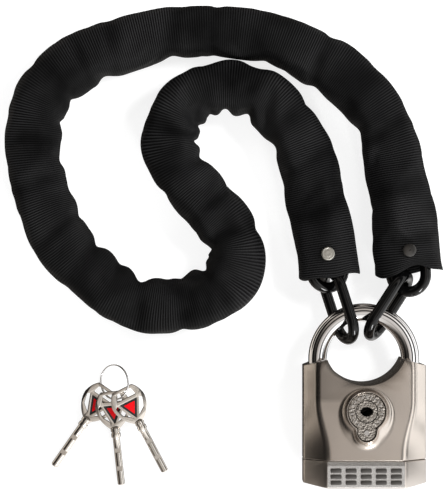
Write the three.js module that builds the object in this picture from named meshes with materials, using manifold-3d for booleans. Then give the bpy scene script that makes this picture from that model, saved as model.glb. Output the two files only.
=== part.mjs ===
// Chain lock: an alarm padlock whose shackle joins the two end links of a chain in a woven sleeve,
// with its three keys on a ring. Millimetres, +Z up. Everything lies on the plane Z = 0, the padlock
// on its back with the keyhole up. +Y runs from the padlock towards the coil of the sleeve.
import * as THREE from 'three';
import { mergeVertices } from 'three/addons/utils/BufferGeometryUtils.js';
import Module from 'manifold-3d';

const wasm = await Module();
wasm.setup();

// ---------- driving dimensions ----------
const GAP = 0.3; // clearance between pieces that touch
const CENTRE_SHIFT = [-0.9, 1.7]; // brings the whole outline onto the origin

// padlock, measured from the centre of the shackle's arc
const PADLOCK = [77, -62.6];
const BODY_HALF_WIDTH = 33;
const BODY_THICKNESS = 30;
const FRONT_HALF_WIDTH = 26; // front face above the waist
const WAIST_HALF_WIDTH = 20.5; // front face below the waist
const WAIST_TOP = -21;
const WAIST_BOTTOM = -50;
const SIDE_BAND = 6; // half height of the flat band along each side
const EAR_TOP = 0.9;
const SHOULDER_DROP = 3.8;
const SEAM = -53.2; // body meets end cap
const BOTTOM = -67.9;
const BOTTOM_RISE = 2.2; // the bottom's outer corners are higher
const NOTCH_RADIUS = 22.2;
const NOTCH_CENTRE = 8.9;

const MID = BODY_THICKNESS / 2;
const SHACKLE_ROD = 5;
const SHACKLE_RADIUS = 25;
const HEEL_END = -40;
const TOE_END = -31;
const SHACKLE_TRAVEL = 32;
const BORE_RADIUS = SHACKLE_ROD + 0.5;
const HEEL_BORE_END = -48;
const SEAL_Y = -8; // rubber ring in each bore
const CAVITY = 17; // half width of the space below the lock cylinder
const SCREW_X = 21;
const SCREW_Z = 6.5;
const PLATE_THICKNESS = 1;

// lock cylinder: a round and a lobe, as seen from the front
const CYLINDER_CENTRE = -26.7;
const ROUND_RADIUS = 9.85;
const LOBE_RADIUS = 4.9;
const LOBE_OFFSET = 10.7;
const BOSS_RADIUS = 16;
const BOSS_HEIGHT = 4.2;
const HOUSING_FLOOR = 21;
const PLUG_RADIUS = 5.8;
const PLUG_FLOOR = 4.5;
const KEYHOLE = [7, 5.2];
const KEYHOLE_DEPTH = 25;
const CAM_LONG = 11;
const CAM_SHORT = 8;
const CAM_HALF_HEIGHT = 3.6;
const BOLT_INNER = 11.5;
const BOLT_OUTER = 22.6;
const BOLT_HALF = 3.4;
const BOLT_TRAVEL = 3;
const BATTERY_CELLS = 3;

// chain
const WIRE = 2.95; // wire radius
const LINK_HALF_WIDTH = 9.5; // to the wire's centre
const LINK_HALF_LENGTH = 18.8; // to the wire's centre
const HIDDEN_LINKS = 25; // inside the sleeve, between the two second links
const LINK_SPACING = 28.5; // along the centreline, about
const LINK_RISE = Math.PI * 4 / 180; // the end links rise from the sleeve to the shackle
const BEND_SHARE = 0.58; // how far a link's joint moves out on a bend, as a share of the bend's rise
const HOOK = 8.1; // between the wire centres of two hooked links
const flatAngle = (degrees) => degrees * Math.PI / 180;
// Each end link hangs on the shackle: where it crosses it, its plan direction towards the padlock,
// how far past the rod its bend lies, and the turn of its plane.
const END_LINKS = {
  right: { x: 9.7, heading: flatAngle(-123), past: 12, roll: flatAngle(114) },
  left: { x: -11.4, heading: flatAngle(-72.5), past: 12.1, roll: flatAngle(66) },
};
const SECOND_LINK_ROLL = flatAngle(20);
const HIDDEN_LINK_ROLL = flatAngle(45);
const NEAR_MOUTH_ROLL = flatAngle(58);

// sleeve: centreline x, y and half width, from the mouth at the right to the mouth at the left
const SLEEVE_ROUTE = [
  [101.8, -16.4, 18.6], [100.5, -5.2, 18.6], [99.2, 14, 17.8], [96.6, 34, 16.8], [93.4, 52, 16],
  [87.4, 68, 15.4], [77.5, 82.5, 15.4], [63.6, 94.8, 15.4], [45.5, 104.4, 15], [24, 112, 14.4],
  [-1, 115, 14], [-28, 113.8, 14.6], [-51, 109.2, 15.4], [-73, 101.4, 16], [-91, 89.6, 15.8],
  [-100.6, 74.6, 15.2], [-103.2, 56.4, 15.2], [-101.6, 37.4, 15.2], [-95.8, 17.6, 15.6],
  [-86.4, 0.4, 16], [-73, -15.2, 15.4], [-54.4, -29.6, 14.8], [-32.6, -35.4, 14.8],
  [-9.6, -32, 15.4], [5, -21.6, 15.6], [9.8, -5.6, 15.6], [2.4, 11, 15.2], [-14.4, 28, 15],
  [-25.6, 43, 15], [-29, 58, 15], [-23.8, 73, 14.8], [-11, 82.6, 14.3], [5, 85.2, 14.3],
  [21, 81.2, 14.8], [33.6, 70.6, 15], [42.6, 55.6, 15.6], [48.8, 37, 16.2], [53, 18, 16.6],
  [56.8, -4, 16.8], [58.7, -18.2, 16.8],
];
const SLEEVE_WALL = 1;
const SLEEVE_HEIGHT = 13.5; // half height where it is round
const MOUTH_HEIGHT = 11.15; // half height where the rivets flatten it
const MOUTH_BLEND = 34; // length over which the flattening fades
const SLEEVE_STEPS = 72;
const SLEEVE_SIDES = 12;

// rivets
const RIVET_HEAD = 3.6;
const RIVET_SHANK = 1.7;
const RIVET_INSET = 12.6; // from the mouth, along the sleeve
const AIM_REACH = 27; // from the mouth to the point each second link heads for

// keys, in their own frame: origin where the ring passes, +Y towards the tip
const BOW_HALF_WIDTH = 10.2;
const BOW_THICKNESS = 1.8;
const BOW_TOP = -4.4;
const BOW_BOTTOM = 16;
const KEY_LENGTH = 47.4;
const SHANK_RADIUS = 2;
const COLLAR_RADIUS = 2.6;
const RING_CENTRE = [-58.2, -75.9];
const RING_RADIUS = 9.4;
const RING_WIRE = 0.65;
const RING_SLOPE = 34 * Math.PI / 180;
const RING_HEIGHT = 6.1;
// name, place round the ring and heading (degrees from -Y towards +X), height of the bow above the ground
const KEYS = [['left', -40, -35, 3.4], ['middle', -8, 6, 6.1], ['right', 40, 27, 8.8]];
const KEY_REACH = 9.6; // ring's centre to each key's origin, in plan
const WINDOW = { halfWidth: 5.4, top: -3, bottom: 2.4 };
const TRIANGLE = { top: 3, tip: 14.4, halfWidth: 6.2, rim: 1.1 };

// ---------- materials ----------
const metal = (color, roughness) => new THREE.MeshStandardMaterial({ color, roughness, metalness: 1 });
const plastic = (color, roughness) => new THREE.MeshStandardMaterial({ color, roughness, metalness: 0 });
const SATIN_NICKEL = metal(0xa89d92, 0.34);
const CHROME = metal(0xd8d8da, 0.08);
const BLACK_LINK = metal(0x141414, 0.25);
const FABRIC = plastic(0x17171a, 0.85);
const GUNMETAL = metal(0x55555a, 0.3);
const BRIGHT_PLATE = metal(0xc9c7c4, 0.5);
const BRASS = metal(0xb08d4f, 0.35);
const STEEL = metal(0x9a9a9e, 0.35);
const RUBBER = plastic(0x1a1a1a, 0.9);
const BOARD = plastic(0x1f5a34, 0.6);
const BLACK_PLASTIC = plastic(0x18181a, 0.5);
const CELL_CAN = metal(0xbfbfc4, 0.25);
const RED_ENAMEL = plastic(0xd8141c, 0.3);

// ---------- solids ----------
function toSolid(geometry) {
  const bare = geometry.clone();
  bare.deleteAttribute('normal');
  bare.deleteAttribute('uv');
  const merged = mergeVertices(bare, 1e-4);
  return new wasm.Manifold(new wasm.Mesh({
    numProp: 3,
    vertProperties: new Float32Array(merged.attributes.position.array),
    triVerts: new Uint32Array(merged.index.array),
  }));
}

function toGeometry(solid) {
  const out = solid.getMesh();
  const geometry = new THREE.BufferGeometry();
  geometry.setAttribute('position', new THREE.BufferAttribute(new Float32Array(out.vertProperties), 3));
  geometry.setIndex(new THREE.BufferAttribute(new Uint32Array(out.triVerts), 1));
  geometry.computeVertexNormals();
  return geometry;
}

const box = (x0, x1, y0, y1, z0, z1) => toSolid(
  new THREE.BoxGeometry(x1 - x0, y1 - y0, z1 - z0)
    .translate((x0 + x1) / 2, (y0 + y1) / 2, (z0 + z1) / 2));

function rodZ(radius, x, y, z0, z1, sides = 24) {
  const rod = new THREE.CylinderGeometry(radius, radius, z1 - z0, sides).rotateX(Math.PI / 2);
  return toSolid(rod.translate(x, y, (z0 + z1) / 2));
}

function rodY(radius, x, z, y0, y1, sides = 20) {
  const rod = new THREE.CylinderGeometry(radius, radius, y1 - y0, sides);
  return toSolid(rod.translate(x, (y0 + y1) / 2, z));
}

function rodX(radius, y, z, x0, x1, sides = 20) {
  const rod = new THREE.CylinderGeometry(radius, radius, x1 - x0, sides).rotateZ(Math.PI / 2);
  return toSolid(rod.translate((x0 + x1) / 2, y, z));
}

function prism(shape, z0, z1, segments = 12) {
  const settings = { depth: z1 - z0, bevelEnabled: false, curveSegments: segments };
  return toSolid(new THREE.ExtrudeGeometry(shape, settings).translate(0, 0, z0));
}

function polygon(points) {
  return new THREE.Shape(points.map(([x, y]) => new THREE.Vector2(x, y)));
}

function enclosedVolume(points, faces) {
  let volume = 0;
  for (let i = 0; i < faces.length; i += 3) {
    const [a, b, c] = [points[faces[i]], points[faces[i + 1]], points[faces[i + 2]]];
    volume += a.dot(b.clone().cross(c)) / 6;
  }
  return volume;
}

// Closed solid through rings of points that all hold the same count; a ring is a list of Vector3.
function loft(rings, closed = false) {
  const count = rings[0].length;
  const points = rings.flat();
  const faces = [];
  const last = closed ? rings.length : rings.length - 1;
  for (let i = 0; i < last; i += 1) {
    const a = i * count;
    const b = ((i + 1) % rings.length) * count;
    for (let j = 0; j < count; j += 1) {
      const k = (j + 1) % count;
      faces.push(a + j, a + k, b + k, a + j, b + k, b + j);
    }
  }
  if (!closed) {
    const tail = (rings.length - 1) * count;
    for (let j = 1; j < count - 1; j += 1) {
      faces.push(0, j + 1, j, tail, tail + j, tail + j + 1);
    }
  }
  const geometry = new THREE.BufferGeometry().setFromPoints(points);
  geometry.setIndex(enclosedVolume(points, faces) < 0 ? faces.reverse() : faces);
  return geometry;
}

// Circular wire along a closed or open curve.
function wire(curve, radius, steps, sides) {
  const section = new THREE.Shape();
  section.absarc(0, 0, radius, 0, 2 * Math.PI, false);
  const outline = new THREE.Shape(section.getSpacedPoints(sides).slice(0, sides));
  return new THREE.ExtrudeGeometry(outline, { steps, extrudePath: curve, bevelEnabled: false });
}

const scene = new THREE.Group();
const padlock = new THREE.Group();
padlock.position.set(PADLOCK[0], PADLOCK[1], 0);
const chain = new THREE.Group();
const keyring = new THREE.Group();
scene.add(padlock, chain, keyring);

function place(parent, name, shape, material) {
  const geometry = shape.isBufferGeometry ? shape : toGeometry(shape);
  const mesh = new THREE.Mesh(geometry, material);
  mesh.name = name;
  parent.add(mesh);
  return mesh;
}

// ---------- padlock ----------
const smooth = (t) => t * t * (3 - 2 * t);

function frontHalfWidth(y) {
  const t = THREE.MathUtils.clamp((WAIST_TOP - y) / (WAIST_TOP - WAIST_BOTTOM), 0, 1);
  return FRONT_HALF_WIDTH + (WAIST_HALF_WIDTH - FRONT_HALF_WIDTH) * smooth(t);
}

// Eight-sided section at height y: front face, chamfers, side bands and back face.
function bodySection(y, inset = 0) {
  const front = frontHalfWidth(y) - inset;
  const side = BODY_HALF_WIDTH - inset;
  const top = BODY_THICKNESS - inset;
  const corners = [
    [front, top], [side, MID + SIDE_BAND], [side, MID - SIDE_BAND], [front, inset],
    [-front, inset], [-side, MID - SIDE_BAND], [-side, MID + SIDE_BAND], [-front, top],
  ];
  return corners.map(([x, z]) => new THREE.Vector3(x, y, z));
}

// Radius of the cylinder's outline at an angle from +X about the round's centre, grown by extra.
function pearRadius(angle, extra) {
  const fromLobe = angle + Math.PI / 2;
  const across = LOBE_OFFSET * Math.sin(fromLobe);
  const lobe = LOBE_RADIUS + extra;
  const round = ROUND_RADIUS + extra;
  if (Math.cos(fromLobe) <= 0 || Math.abs(across) >= lobe) {
    return round;
  }
  return Math.max(round, LOBE_OFFSET * Math.cos(fromLobe) + Math.sqrt(lobe * lobe - across * across));
}

function pearRing(extra, z, roundness = 0) {
  const sides = 32;
  const ring = [];
  for (let i = 0; i < sides; i += 1) {
    const angle = (i / sides) * 2 * Math.PI;
    const pear = pearRadius(angle, extra);
    const radius = pear + (BOSS_RADIUS - pear) * roundness;
    ring.push(new THREE.Vector3(radius * Math.cos(angle), CYLINDER_CENTRE + radius * Math.sin(angle), z));
  }
  return ring;
}

const pearPrism = (extra, z0, z1) => toSolid(loft([pearRing(extra, z0), pearRing(extra, z1)]));

function boss() {
  const front = BODY_THICKNESS;
  return toSolid(loft([
    pearRing(1.6, front - 3, 1),
    pearRing(1.6, front + 0.02, 1),
    pearRing(1.6, front + BOSS_HEIGHT * 0.3, 0.6),
    pearRing(1.6, front + BOSS_HEIGHT * 0.75, 0.22),
    pearRing(1.4, front + BOSS_HEIGHT, 0),
  ]));
}

// What is cut away above the sloping outer shoulder of an ear.
function shoulderCut(side) {
  const outer = EAR_TOP - SHOULDER_DROP * 1.6;
  return prism(polygon([
    [side * 19, EAR_TOP], [side * 40, outer], [side * 40, 12], [side * 19, 12],
  ]), -1, BODY_THICKNESS + 1);
}

function lockBody() {
  const stations = [EAR_TOP, WAIST_TOP, -26, -31, -36, -41, -46, WAIST_BOTTOM, SEAM];
  let body = toSolid(loft(stations.map((y) => bodySection(y))));
  body = body.add(boss());
  body = body.subtract(rodZ(NOTCH_RADIUS, 0, NOTCH_CENTRE, -1, 40, 44));
  for (const side of [-1, 1]) {
    body = body.subtract(shoulderCut(side));
    const boreEnd = side > 0 ? HEEL_BORE_END : TOE_END - 1.5;
    body = body.subtract(rodY(BORE_RADIUS, side * SHACKLE_RADIUS, MID, boreEnd, 10, 24));
    const guide = [side * (CAM_LONG - 2), side * SHACKLE_RADIUS].sort((a, b) => a - b);
    const half = BOLT_HALF + GAP;
    const [low, high] = [CYLINDER_CENTRE - half, CYLINDER_CENTRE + half];
    body = body.subtract(box(...guide, low, high, MID - half, MID + half));
    body = body.subtract(rodY(1.5, side * SCREW_X, SCREW_Z, SEAM - 5, -42, 12));
    const groove = rodY(BORE_RADIUS + 1.7, side * SHACKLE_RADIUS, MID, SEAL_Y - 1.1, SEAL_Y + 1.1, 24);
    body = body.subtract(groove);
  }
  const chamber = CAM_LONG + 0.7;
  const [chamberFloor, ceiling] = [MID - CAM_HALF_HEIGHT - 0.4, MID + CAM_HALF_HEIGHT + 0.4];
  body = body.subtract(pearPrism(GAP + 0.05, HOUSING_FLOOR - GAP, 50));
  body = body.subtract(rodZ(PLUG_RADIUS + GAP, 0, CYLINDER_CENTRE, PLUG_FLOOR - GAP, 25));
  body = body.subtract(rodZ(chamber, 0, CYLINDER_CENTRE, chamberFloor, ceiling, 32));
  body = body.subtract(box(-chamber, chamber, -42, CYLINDER_CENTRE, chamberFloor, ceiling));
  return body.subtract(box(-CAVITY, CAVITY, SEAM - 5, -40.5, 3.5, ceiling));
}

// Ring of the shackle's rod about a centre, with outward pointing away from the arc's centre.
function rodRing(centre, outward) {
  const sides = 14;
  const ring = [];
  for (let j = 0; j < sides; j += 1) {
    const a = (j / sides) * 2 * Math.PI;
    const offset = outward.clone().multiplyScalar(SHACKLE_ROD * Math.cos(a));
    ring.push(centre.clone().add(offset.setZ(SHACKLE_ROD * Math.sin(a))));
  }
  return ring;
}

function shackle() {
  const arcs = 16;
  const rings = [rodRing(new THREE.Vector3(SHACKLE_RADIUS, HEEL_END, MID), new THREE.Vector3(1, 0, 0))];
  for (let i = 0; i <= arcs; i += 1) {
    const angle = (i / arcs) * Math.PI;
    const outward = new THREE.Vector3(Math.cos(angle), Math.sin(angle), 0);
    rings.push(rodRing(outward.clone().multiplyScalar(SHACKLE_RADIUS).setZ(MID), outward));
  }
  rings.push(rodRing(new THREE.Vector3(-SHACKLE_RADIUS, TOE_END, MID), new THREE.Vector3(-1, 0, 0)));
  let rod = toSolid(loft(rings));
  // ramped notches that the locking bolts slide out of as the shackle rises
  const top = CYLINDER_CENTRE + BOLT_HALF + GAP;
  const foot = CYLINDER_CENTRE - BOLT_HALF - GAP;
  for (const side of [-1, 1]) {
    const deep = side * (BOLT_OUTER + GAP);
    rod = rod.subtract(prism(polygon([
      [0, top], [deep, top], [deep, foot],
      [side * (BOLT_OUTER - BOLT_TRAVEL + GAP), foot - SHACKLE_TRAVEL], [0, foot - SHACKLE_TRAVEL],
    ]), 0, BODY_THICKNESS));
  }
  return rod;
}

function shackleSpring() {
  const turns = 5;
  const radius = 3.6;
  const wireRadius = 0.5;
  const low = HEEL_BORE_END + wireRadius + GAP;
  const high = HEEL_END - wireRadius - GAP;
  class Helix extends THREE.Curve {
    getPoint(t, target = new THREE.Vector3()) {
      const a = t * turns * 2 * Math.PI;
      const [x, z] = [radius * Math.cos(a), radius * Math.sin(a)];
      return target.set(SHACKLE_RADIUS + x, low + (high - low) * t, MID + z);
    }
  }
  return wire(new Helix(), wireRadius, turns * 8, 4);
}

function oval(a, b) {
  const shape = new THREE.Shape();
  shape.absellipse(0, CYLINDER_CENTRE, a, b, 0, 2 * Math.PI, false);
  return shape;
}

function lockCam() {
  const disc = prism(oval(CAM_LONG, CAM_SHORT), MID - CAM_HALF_HEIGHT, MID + CAM_HALF_HEIGHT, 16);
  return disc.subtract(rodZ(PLUG_RADIUS + GAP, 0, CYLINDER_CENTRE, 0, 40));
}

function lockingBolt(side) {
  const [y, z, half] = [CYLINDER_CENTRE, MID, BOLT_HALF];
  const span = [side * BOLT_INNER, side * BOLT_OUTER].sort((a, b) => a - b);
  return box(...span, y - half, y + half, z - half, z + half);
}

function cylinderHousing() {
  const face = BODY_THICKNESS + BOSS_HEIGHT - 0.7;
  const hole = rodZ(PLUG_RADIUS + GAP, 0, CYLINDER_CENTRE, 0, 50, 28);
  return pearPrism(0, HOUSING_FLOOR, face).subtract(hole);
}

function cylinderPlug() {
  const face = BODY_THICKNESS + BOSS_HEIGHT - 0.9;
  const plug = rodZ(PLUG_RADIUS, 0, CYLINDER_CENTRE, PLUG_FLOOR, face, 28);
  const hole = oval(KEYHOLE[0] / 2, KEYHOLE[1] / 2);
  return plug.subtract(prism(hole, face - KEYHOLE_DEPTH, face + 1, 8));
}

function endCap() {
  const stations = [SEAM - GAP, BOTTOM + 1.2, BOTTOM];
  let cap = toSolid(loft([
    bodySection(stations[0]), bodySection(stations[1]), bodySection(stations[2], 1),
  ]));
  for (const side of [-1, 1]) {
    const [inner, outer] = [side * WAIST_HALF_WIDTH, side * 40];
    cap = cap.subtract(prism(polygon([
      [inner, BOTTOM], [outer, BOTTOM + BOTTOM_RISE * 1.5], [outer, BOTTOM - 5], [inner, BOTTOM - 5],
    ]), -1, 40));
    cap = cap.subtract(rodY(1.5, side * SCREW_X, SCREW_Z, BOTTOM - 1, SEAM + 1, 12));
    cap = cap.subtract(rodY(2.9, side * SCREW_X, SCREW_Z, BOTTOM - 1, BOTTOM + 2.6, 14));
  }
  cap = cap.subtract(box(-60, 60, BOTTOM - 1, SEAM + 1, BODY_THICKNESS - PLATE_THICKNESS - GAP, 40));
  return cap.subtract(box(-CAVITY, CAVITY, BOTTOM + 2, SEAM + 1, 3.5, 24));
}

// Front plate of the end cap with five raised bars of different heights, like a sound meter.
function labelPlate() {
  const [top, low] = [SEAM - 0.6, BOTTOM + 0.6];
  const floor = BODY_THICKNESS - PLATE_THICKNESS;
  let plate = box(-WAIST_HALF_WIDTH, WAIST_HALF_WIDTH, low, top, floor, BODY_THICKNESS);
  const heights = [4, 6.5, 9, 6.5, 4];
  heights.forEach((height, i) => {
    const x = (i - 2) * 7.4;
    const y = (top + low) / 2 - 0.9;
    plate = plate.add(box(x - 1.7, x + 1.7, y - height / 2, y + height / 2, floor, BODY_THICKNESS + 0.45));
  });
  return plate;
}

function capScrew(side) {
  const [x, z] = [side * SCREW_X, SCREW_Z];
  const head = rodY(2.6, x, z, BOTTOM + 0.4, BOTTOM + 2.3, 14);
  return head.add(rodY(1.15, x, z, BOTTOM + 2, -43, 10));
}

function seal(side) {
  const x = side * SHACKLE_RADIUS;
  const [inner, outer] = [SHACKLE_ROD + GAP, BORE_RADIUS + 1.4];
  const profile = [[inner, -0.8], [outer, -0.8], [outer, 0.8], [inner, 0.8], [inner, -0.8]];
  const points = profile.map(([r, y]) => new THREE.Vector2(r, y));
  return new THREE.LatheGeometry(points, 20).translate(x, SEAL_Y, MID);
}

function batteryCarrier() {
  const floor = box(-11.2, 11.2, BOTTOM + 2.4, SEAM - 0.8, 4.2, 5.2);
  const left = box(-11.2, -9.6, BOTTOM + 2.4, SEAM - 0.8, 4.2, 15);
  const right = box(9.6, 11.2, BOTTOM + 2.4, SEAM - 0.8, 4.2, 15);
  return floor.add(left).add(right);
}

function batteryCell(i) {
  const pitch = 5.4 + GAP;
  const x = (i - (BATTERY_CELLS - 1) / 2) * pitch;
  return rodX(5.6, (SEAM + BOTTOM) / 2 + 0.9, 11.4, x - 2.7, x + 2.7, 20);
}

place(padlock, 'lock_body', lockBody(), SATIN_NICKEL);
place(padlock, 'end_cap', endCap(), SATIN_NICKEL);
place(padlock, 'label_plate', labelPlate(), BRIGHT_PLATE);
place(padlock, 'shackle', shackle(), CHROME);
place(padlock, 'shackle_spring', shackleSpring(), STEEL);
place(padlock, 'cylinder_housing', cylinderHousing(), SATIN_NICKEL);
place(padlock, 'cylinder_plug', cylinderPlug(), SATIN_NICKEL);
place(padlock, 'lock_cam', lockCam(), BRASS);
for (const [word, side] of [['left', -1], ['right', 1]]) {
  place(padlock, `locking_bolt_${word}`, lockingBolt(side), STEEL);
  place(padlock, `shackle_seal_${word}`, seal(side), RUBBER);
  place(padlock, `cap_screw_${word}`, capScrew(side), STEEL);
}
place(padlock, 'circuit_board', box(-15, 15, -52.4, -41.5, 12.6, 13.8), BOARD);
place(padlock, 'siren', rodZ(5, -8, -47, 4.2, 12.2, 24), BLACK_PLASTIC);
place(padlock, 'shake_sensor', rodX(2, -47, 16.2, 0, 9, 12), STEEL);
place(padlock, 'battery_carrier', batteryCarrier(), BLACK_PLASTIC);
for (let i = 0; i < BATTERY_CELLS; i += 1) {
  place(padlock, `battery_cell_${i + 1}`, batteryCell(i), CELL_CAN);
}

// ---------- chain ----------
// A link is a stadium of round wire, centred, its length along X and its width along Y.
function linkGeometry(endSteps, sides) {
  const bend = LINK_HALF_WIDTH;
  const straight = LINK_HALF_LENGTH - bend;
  const rings = [];
  for (const end of [1, -1]) {
    for (let i = 0; i <= endSteps; i += 1) {
      const a = (i / endSteps - 0.5) * Math.PI + (end < 0 ? Math.PI : 0);
      const outward = new THREE.Vector3(Math.cos(a), Math.sin(a), 0);
      const centre = outward.clone().multiplyScalar(bend);
      centre.x += end * straight;
      const ring = [];
      for (let j = 0; j < sides; j += 1) {
        const b = ((j + 0.5) / sides) * 2 * Math.PI;
        const offset = outward.clone().multiplyScalar(WIRE * Math.cos(b));
        ring.push(centre.clone().add(offset).setZ(WIRE * Math.sin(b)));
      }
      rings.push(ring);
    }
  }
  return loft(rings, true);
}

// Places a link with its length from one wire centre to the other and its plane turned about that line.
function placeLink(name, from, to, roll, geometry) {
  const mesh = place(chain, name, geometry, BLACK_LINK);
  const along = to.clone().sub(from).normalize();
  const level = new THREE.Vector3(-along.y, along.x, 0).normalize();
  const up = along.clone().cross(level);
  const width = level.clone().multiplyScalar(Math.cos(roll)).add(up.clone().multiplyScalar(Math.sin(roll)));
  mesh.quaternion.setFromRotationMatrix(
    new THREE.Matrix4().makeBasis(along, width, along.clone().cross(width)));
  mesh.position.copy(from).add(to).multiplyScalar(0.5);
}

function endLinkEnds(side) {
  const { x, heading, past } = END_LINKS[side];
  const flat = Math.cos(LINK_RISE);
  const down = new THREE.Vector3(Math.cos(heading) * flat, Math.sin(heading) * flat, Math.sin(LINK_RISE));
  const crossing = new THREE.Vector3(
    PADLOCK[0] + x, PADLOCK[1] + Math.sqrt(SHACKLE_RADIUS ** 2 - x ** 2), MID);
  const low = crossing.addScaledVector(down, past);
  const high = low.clone().addScaledVector(down, -2 * LINK_HALF_LENGTH);
  const bendCentre = high.clone().addScaledVector(down, HOOK - LINK_HALF_WIDTH);
  return { low, high, bendCentre };
}

const visibleLink = linkGeometry(8, 8);
const hiddenLink = linkGeometry(4, 6);

// sleeve centreline with its height and half width at a fraction of its length
const plan = new THREE.CatmullRomCurve3(
  SLEEVE_ROUTE.map(([x, y]) => new THREE.Vector3(x, y, 0)), false, 'centripetal');
plan.arcLengthDivisions = 800;
const SLEEVE_LENGTH = plan.getLength();
const RIVET_FRACTIONS = [RIVET_INSET / SLEEVE_LENGTH, 1 - RIVET_INSET / SLEEVE_LENGTH];
const AIM = AIM_REACH / SLEEVE_LENGTH;
const FLAT = Math.cos(Math.PI / SLEEVE_SIDES); // the section's flats touch the nominal oval

function mouthShare(u) {
  const distance = Math.min(u, 1 - u) * SLEEVE_LENGTH;
  return 1 - smooth(THREE.MathUtils.clamp(distance / MOUTH_BLEND, 0, 1));
}

function sleeveHalfHeight(u) {
  return SLEEVE_HEIGHT + (MOUTH_HEIGHT - SLEEVE_HEIGHT) * mouthShare(u);
}

function centreAt(u) {
  return plan.getPointAt(u).setZ(SLEEVE_HEIGHT);
}

function halfWidthAt(u) {
  const t = plan.getUtoTmapping(u, 0) * (SLEEVE_ROUTE.length - 1);
  const i = Math.min(Math.floor(t), SLEEVE_ROUTE.length - 2);
  return THREE.MathUtils.lerp(SLEEVE_ROUTE[i][2], SLEEVE_ROUTE[i + 1][2], t - i);
}

function sleeveRing(u, wall) {
  const centre = centreAt(u);
  const along = plan.getTangentAt(u);
  const across = new THREE.Vector3(-along.y, along.x, 0);
  const [wide, high] = [halfWidthAt(u) - wall, sleeveHalfHeight(u) - wall];
  const ring = [];
  for (let j = 0; j < SLEEVE_SIDES; j += 1) {
    const a = ((j + 0.5) / SLEEVE_SIDES) * 2 * Math.PI;
    const point = centre.clone().add(across.clone().multiplyScalar(wide * Math.cos(a) / FLAT));
    ring.push(point.setZ(centre.z + high * Math.sin(a) / FLAT));
  }
  return ring;
}

// The wall runs out along the outside and back along the inside, so one closed loop of rings makes it.
function sleeve() {
  const fractions = Array.from({ length: SLEEVE_STEPS + 1 }, (_, i) => i / SLEEVE_STEPS);
  const outside = fractions.map((u) => sleeveRing(u, 0));
  const inside = fractions.map((u) => sleeveRing(u, SLEEVE_WALL)).reverse();
  let tube = toSolid(loft([...outside, ...inside], true));
  for (const u of RIVET_FRACTIONS) {
    const { x, y } = centreAt(u);
    tube = tube.subtract(rodZ(RIVET_SHANK + GAP, x, y, -5, 40, 12));
  }
  return tube;
}

function rivet(u) {
  const centre = centreAt(u);
  const reach = sleeveHalfHeight(u) + 2 * GAP;
  const head = [[RIVET_SHANK, 0], [RIVET_HEAD, 0], [RIVET_HEAD, 0.4], [RIVET_HEAD * 0.7, 0.8], [0, 1]];
  const upper = head.map(([r, z]) => new THREE.Vector2(r, reach + z));
  const lower = head.map(([r, z]) => new THREE.Vector2(r, -reach - z)).reverse();
  const turned = new THREE.LatheGeometry([...lower, ...upper], 16).rotateX(Math.PI / 2);
  return turned.translate(centre.x, centre.y, centre.z);
}

const rightEnd = endLinkEnds('right');
const leftEnd = endLinkEnds('left');
placeLink('end_link_right', rightEnd.high, rightEnd.low, END_LINKS.right.roll, visibleLink);
placeLink('end_link_left', leftEnd.high, leftEnd.low, END_LINKS.left.roll, visibleLink);

// A second link leaves its end link towards the centreline inside the sleeve. The end link's wire
// lies near the middle of its bend. Returns its joint with the first hidden link.
function secondLink(name, bendCentre, aimFraction, roll) {
  const along = centreAt(aimFraction).sub(bendCentre).normalize();
  const near = bendCentre.clone().addScaledVector(along, -LINK_HALF_WIDTH);
  const far = near.clone().addScaledVector(along, 2 * LINK_HALF_LENGTH);
  placeLink(name, near, far, roll, visibleLink);
  return far.addScaledVector(along, -HOOK / 2);
}

const rightStart = secondLink('second_link_right', rightEnd.bendCentre, AIM, -SECOND_LINK_ROLL);
const leftStart = secondLink('second_link_left', leftEnd.bendCentre, 1 - AIM, SECOND_LINK_ROLL);

// Nearest fraction of the centreline to a point, from an even walk along it.
function fractionNear(point) {
  let best = 0;
  for (let i = 0; i <= 2000; i += 1) {
    const u = i / 2000;
    if (centreAt(u).distanceTo(point) < centreAt(best).distanceTo(point)) {
      best = u;
    }
  }
  return best;
}

// The joints run outside the centreline on a bend, so that the middles of the straight links stay inside.
function jointAt(u) {
  const reach = LINK_SPACING / 2 / SLEEVE_LENGTH;
  const centre = centreAt(u);
  const inward = centreAt(u - reach).add(centreAt(u + reach)).multiplyScalar(0.5).sub(centre);
  return centre.addScaledVector(inward, -BEND_SHARE);
}

// Hidden links: their joints are evenly spaced between the two second links.
function hiddenLinks() {
  const [first, last] = [fractionNear(rightStart), fractionNear(leftStart)];
  const samples = 240;
  const points = [rightStart];
  for (let i = 1; i < samples; i += 1) {
    points.push(jointAt(first + (last - first) * i / samples));
  }
  points.push(leftStart);
  const joints = new THREE.CatmullRomCurve3(points);
  joints.arcLengthDivisions = 1200;
  const count = HIDDEN_LINKS;
  for (let i = 0; i < count; i += 1) {
    const from = joints.getPointAt(i / count);
    const to = joints.getPointAt((i + 1) / count);
    const middle = from.clone().add(to).multiplyScalar(0.5);
    const half = to.clone().sub(from).normalize().multiplyScalar(LINK_HALF_LENGTH);
    const atMouth = i === 0 || i === count - 1;
    const turn = atMouth ? NEAR_MOUTH_ROLL : HIDDEN_LINK_ROLL;
    const roll = i % 2 ? -turn : turn;
    const name = `chain_link_${String(i + 1).padStart(2, '0')}`;
    placeLink(name, middle.clone().sub(half), middle.clone().add(half), roll, hiddenLink);
  }
}
hiddenLinks();
place(chain, 'sleeve', sleeve(), FABRIC);
place(chain, 'rivet_right', rivet(RIVET_FRACTIONS[0]), GUNMETAL);
place(chain, 'rivet_left', rivet(RIVET_FRACTIONS[1]), BRIGHT_PLATE);

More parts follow.
